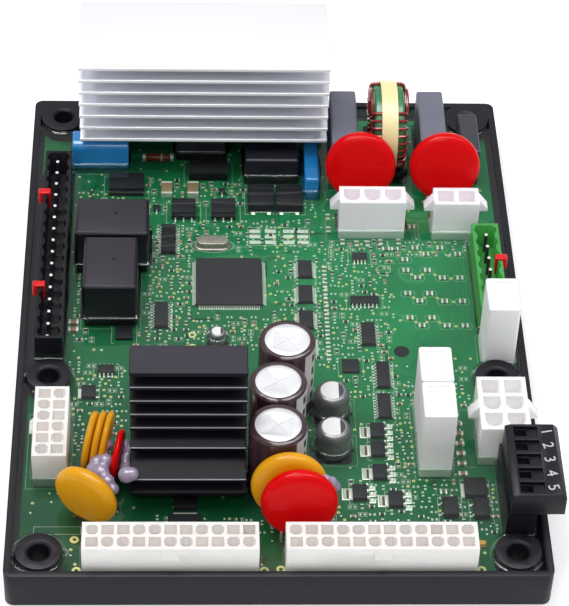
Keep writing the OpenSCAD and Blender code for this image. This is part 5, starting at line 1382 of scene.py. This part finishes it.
class BOARD_OT_choke(bpy.types.Operator):
    """Winds the choke: core, round wire, strap and base"""
    bl_idname = "board.choke"
    bl_label = "Choke"

    CORE_HOLE = 7.0
    WIRE_BEND = 0.9

    def execute(self, context):
        rounded_copy("choke_core", "core", 0.35, 2, angle=40)
        rounded_copy("choke_tape", "tape", 0.06, 1)
        rounded_copy("choke_base", "black_moulding", 0.35, 2)
        low, high = box_of("choke_core")
        centre = (low + high) / 2
        outer, half_width = (high.z - low.z) / 2, (high.x - low.x) / 2
        r = context.scene.board_sizes.wire_diameter / 2
        bend = self.WIRE_BEND
        x, z0, z1 = half_width + r - bend, self.CORE_HOLE - r + bend, outer + r - bend
        loop = []
        for k, corner in enumerate(((x, z1), (-x, z1), (-x, z0), (x, z0))):
            loop += [(a, 0, b) for a, b in arc(bend, 90 * k, 90 * k + 90, 3, corner)]
        turn = bmesh.new()
        tube_into(turn, loop, r, 8, closed=True)
        # Each turn keeps the angle of its solid
        middles = [(a + b) / 2 - centre for a, b in islands("choke_windings")]
        places = [(*centre, math.atan2(-m.y, m.z), 0, 0) for m in middles]
        windings = spread("choke_turns", turn, places, "enamel")
        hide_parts("choke_windings")

        crossings = bmesh.new()
        for side in (-1, 1):
            path = []
            for k in range(15):
                angle = math.radians(36 - 66 * k / 14)
                bow = math.sin(math.pi * k / 14)
                reach = outer - 1.4 + 1.9 * bow
                out = half_width + r + 0.35 * bow
                path.append((centre.x + side * out, centre.y - reach * math.sin(angle),
                             centre.z + reach * math.cos(angle)))
            tube_into(crossings, path, r, 8)
        from_bmesh("choke_crossings", crossings, "enamel")
        return {"FINISHED"}


class BOARD_OT_chips(bpy.types.Operator):
    """Makes the chips with their bent leads, the crystal, the lamp and the larger chip parts"""
    bl_idname = "board.chips"
    bl_label = "Chips"

    # Leads: width, reach, rise and thickness
    CHIP_LEAD = (0.42, 1.15, 0.85, 0.16)
    FINE_LEAD = (0.24, 1.1, 0.7, 0.16)

    # Front chips under the small heat sink: corners along X and Y, and their height; and their land
    FRONT_CHIPS = ((-28.6, -71.4, -22.3, -66.8), (-30.2, -78.4, -21.0, -73.8))
    FRONT_CHIP_HEIGHT = 1.9
    FRONT_LAND = (-28.6, -72.5, -22.2, -72)

    # Pins of the power packages lie at this pitch
    POWER_PITCH = 2.35

    def bent_lead(self, width, reach, rise, thick):
        """A gull wing lead that leaves a body at x = 0 and stands on z = 0."""
        lower = [(-0.1, rise - thick), (reach * 0.22, rise - thick), (reach * 0.42, 0), (reach, 0)]
        upper = [(reach, thick), (reach * 0.5, thick), (reach * 0.3, rise), (-0.1, rise)]
        bm = bmesh.new()
        near, far = (verts_into(bm, [(x, y, z) for x, z in lower + upper]) for y in (-width / 2, width / 2))
        bm.faces.new(near)
        bm.faces.new(far[::-1])
        band_into(bm, far, near)
        return bm

    def bend_leads(self, name, leads, bodies, size):
        """Sets bent leads in place of the plain ones, each at its body's side and turned away from it."""
        boxes = islands(bodies)
        places = []
        for low, high in islands(leads):
            c = (low + high) / 2
            a, b = min(boxes, key=lambda box: max(box[0].x - c.x, c.x - box[1].x,
                                                  box[0].y - c.y, c.y - box[1].y))
            sides = [(c.x - b.x, b.x, c.y), (c.y - b.y, c.x, b.y),
                     (a.x - c.x, a.x, c.y), (a.y - c.y, c.x, a.y)]
            way = max(range(4), key=lambda k: sides[k][0])
            places.append((*sides[way][1:], BOARD_TOP + 0.03, 0, 0, way * math.pi / 2))
        piece = spread(name, self.bent_lead(*size), places, "solder", smooth=0)
        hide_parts(leads)

    def power_lands(self):
        """The soldered lands beside the power packages."""
        lumps, plates, dull = [], [], []
        floor = PRINT_LEVEL
        for low, high in islands("power_chip_bodies"):
            if high.x - low.x > 4.5 or low.x < 0:
                continue
            y = (low.y + high.y) / 2
            for k in (-1, 0, 1):
                x0, x1 = high.x + 0.45, high.x + 2.5
                y0, y1 = y + k * self.POWER_PITCH - 0.75, y + k * self.POWER_PITCH + 0.75
                dull.append(((x0 + 0.3, y0, floor), (x1, y1, floor + 0.1)))
                lumps += [((x0 + 0.1, y0 - 0.25, floor), (x1, y0 + 0.3, floor + 0.3)),
                          ((x1 - 0.4, y0, floor), (x1, y1, floor + 0.3)),
                          ((x0 + 0.7, y0 + 0.7, floor), (x0 + 1.3, y1 + 0.1, floor + 0.35)),
                          ((high.x - 0.15, y0 + 0.9, floor + 0.5), (high.x + 0.45, y1 + 0.1, high.z - 0.3))]
            x0, x1, y0, y1 = low.x - 3, low.x - 0.3, y - 2.1, y + 2.1
            plates.append(((x0, y0, floor), (x1, y1, floor + 0.1)))
            dull += [((x0 + 0.6, y0 + 0.4, floor), (x0 + 1.3, y1 - 0.2, floor + 0.16)),
                     ((x0, y1 - 0.3, floor), (x1, y1, floor + 0.2))]
            lumps += [((x0, y0, floor), (x0 + 0.5, y1, floor + 0.3)),
                      ((x0, y0 - 0.1, floor), (x1 - 0.7, y0 + 0.4, floor + 0.3)),
                      ((x1 - 0.6, y0 + 0.5, floor), (x1, y1, floor + 0.3))]
        boxes_piece("power_lands", lumps, "solder", rounding=0.12)
        boxes_piece("power_dull_lands", dull, "print")
        boxes_piece("power_plates", plates, "copper")

    def front_chips(self):
        """Two chips under the front edge of the small heat sink, and their land."""
        high = BOARD_TOP + self.FRONT_CHIP_HEIGHT
        chips = [((x0, y0, BOARD_TOP), (x1, y1, high)) for x0, y0, x1, y1 in self.FRONT_CHIPS]
        boxes_piece("front_chips", chips, "chip", rounding=0.2)
        x0, y0, x1, y1 = self.FRONT_LAND
        boxes_piece("front_chip_land", [((x0, y0, BOARD_TOP - 0.02), (x1, y1, BOARD_TOP + 0.1))],
                    "solder")

    def diode_band(self):
        low, high = box_of("axial_diode")
        middle, r = (low + high) / 2, (high.z - low.z) / 2
        middle.x = low.x * 0.35 + high.x * 0.65
        band = bmesh.new()
        lathe_into(band, [(r - 0.2, -0.25), (r + 0.03, -0.25), (r + 0.03, 0.25), (r - 0.2, 0.25)], 24,
                   Matrix.Translation(middle * MM) @ Matrix.Rotation(math.pi / 2, 4, "Y"), cap=True)
        from_bmesh("diode_band", band, "print")

    def part_ends(self):
        """Soldered ends of the larger chip resistors and capacitors."""
        ends = []
        for node, reach, lip in (("chip_resistors", 0.2, 0.35), ("chip_capacitors", 0.42, 0.28)):
            for low, high in islands(node):
                wide = high.x - low.x >= high.y - low.y or node == "chip_resistors" and low.x > 40
                along, across = (0, 1) if wide else (1, 0)
                for start, end in ((low[along] - lip, low[along] + reach),
                                   (high[along] - reach, high[along] + lip)):
                    a, b = low.copy(), high.copy()
                    a.z, b.z = low.z + 0.02, high.z + 0.03
                    a[across], b[across] = low[across] - 0.03, high[across] + 0.03
                    a[along], b[along] = start, end
                    ends.append((a, b))
        boxes_piece("chip_part_ends", ends, "solder", rounding=0.06)

    def execute(self, context):
        rounded_copy("microcontroller", "micro", 0.12, 2)
        rounded_copy("chip_bodies", "chip", 0.12, 2)
        rounded_copy("power_chip_bodies", "chip", 0.2, 2)
        self.front_chips()
        rounded_copy("power_chip_tabs", "solder", 0.06, 1)
        self.bend_leads("chip_wings", "chip_leads", "chip_bodies", self.CHIP_LEAD)
        self.bend_leads("microcontroller_wings", "microcontroller_leads", "microcontroller", self.FINE_LEAD)
        rounded_copy("crystal", "crystal", 0.45, 3, angle=40)
        rounded_copy("axial_diode", "diode", 0.3, 2, angle=50)
        rounded_copy("axial_diode_ends", "tinned", 0.2, 2, angle=50)
        self.diode_band()
        rounded_copy("chip_resistors", "film_resistor", 0.08, 1)
        self.power_lands()
        rounded_copy("chip_capacitors", "chip_ceramic", 0.15, 2)
        rounded_copy("indicator_lamp", "lamp", 0.15, 2)
        self.part_ends()
        return {"FINISHED"}


class BOARD_OT_stage(bpy.types.Operator):
    """Sets the floor, the lights and the camera"""
    bl_idname = "board.stage"
    bl_label = "Stage"

    FLOOR = ((-3000, -3000, -5.2), (3000, 3000, -0.2))
    SURROUND = (0.95, 0.97, 1, 1)

    # The camera's own directions and its place in metres
    RIGHT = (0.9991891, -0.0262140, 0.0305601)
    UP = (-0.0033852, 0.7016325, 0.7125310)
    AHEAD = (0.0401202, 0.7120567, -0.7009748)
    PLACE = (-0.025607, -0.517633, 0.527191)

    def lamp(self, name, place, width, length, energy):
        """A flat lamp that looks at the middle of the board."""
        light = bpy.data.lights.new(name, "AREA")
        light.shape = "RECTANGLE"
        light.size = width
        light.size_y = length
        light.energy = energy
        lamp = link(name, light)
        lamp.location = place
        lamp.rotation_euler = (-Vector(place)).to_track_quat("-Z", "Y").to_euler()
        return lamp

    def lamps(self, sizes):
        key = sizes.key_power
        self.lamp("key_light", (-0.25, 0.15, 0.95), 0.55, 0.45, key)
        self.lamp("right_light", (0.55, 0.05, 0.75), 0.35, 0.35, key * 0.35)
        self.lamp("front_light", (0.0, -0.75, 0.95), 0.5, 0.3, key * 0.4)
        self.lamp("back_panel", (0.05, 0.95, 0.95), 1.1, 0.9, sizes.panel_power)
        glow = self.lamp("glow_panel", (0.0, -0.1, 1.0), 1.2, 0.5, sizes.glow_power)
        glow.visible_diffuse = False
        glow.visible_camera = False

    def surround(self, level):
        world = bpy.data.worlds.new("studio")
        world.use_nodes = True
        world.node_tree.nodes.clear()
        white = add_node(world.node_tree, "ShaderNodeBackground", {
            "Color": self.SURROUND, "Strength": level})
        add_node(world.node_tree, "ShaderNodeOutputWorld", {0: white.outputs[0]})
        bpy.context.scene.world = world

    def camera(self, focal_length):
        lens = bpy.data.cameras.new("camera")
        lens.sensor_fit = "VERTICAL"
        lens.sensor_width = 36
        lens.sensor_height = 36
        lens.lens = focal_length
        lens.clip_end = 20
        camera = link("camera", lens)
        axes = zip(self.RIGHT, self.UP, self.AHEAD, self.PLACE)
        camera.matrix_world = Matrix([(x, y, -z, place) for x, y, z, place in axes] + [(0, 0, 0, 1)])
        bpy.context.scene.camera = camera

    def execute(self, context):
        sizes = context.scene.board_sizes
        floor = link("floor", mesh_of("floor", box_shape(self.FLOOR)))
        floor.data.materials.append(finishes("floor"))
        self.lamps(sizes)
        self.surround(sizes.world_level)
        self.camera(sizes.lens)
        context.scene.view_settings.view_transform = "Standard"
        return {"FINISHED"}


OPERATORS = (BOARD_OT_tray, BOARD_OT_circuit, BOARD_OT_resin, BOARD_OT_heat_sinks, BOARD_OT_headers,
             BOARD_OT_plug, BOARD_OT_relays, BOARD_OT_resistors, BOARD_OT_cans, BOARD_OT_films, BOARD_OT_discs,
             BOARD_OT_adhesive, BOARD_OT_choke, BOARD_OT_chips, BOARD_OT_stage)


class BOARD_PT_panel(bpy.types.Panel):
    """Lists the board's pieces, sizes and colours"""
    bl_idname = "BOARD_PT_panel"
    bl_label = "Generator control board"
    bl_space_type = "VIEW_3D"
    bl_region_type = "UI"
    bl_category = "Board"

    def draw(self, context):
        layout = self.layout
        for operator in OPERATORS:
            layout.operator(operator.bl_idname)
        for group in (context.scene.board_sizes, context.scene.board_colours):
            box = layout.box()
            for name in group.bl_rna.properties.keys():
                if name not in ("rna_type", "name"):
                    box.prop(group, name)


CLASSES = (BoardSizes, BoardColours, *OPERATORS, BOARD_PT_panel)


def register():
    for each in CLASSES:
        bpy.utils.register_class(each)
    bpy.types.Scene.board_sizes = PointerProperty(type=BoardSizes)
    bpy.types.Scene.board_colours = PointerProperty(type=BoardColours)


def unregister():
    del bpy.types.Scene.board_colours
    del bpy.types.Scene.board_sizes
    for each in reversed(CLASSES):
        bpy.utils.unregister_class(each)


def main():
    register()
    for operator in OPERATORS:
        group, name = operator.bl_idname.split(".")
        getattr(getattr(bpy.ops, group), name)()


if __name__ == "__main__":
    main()
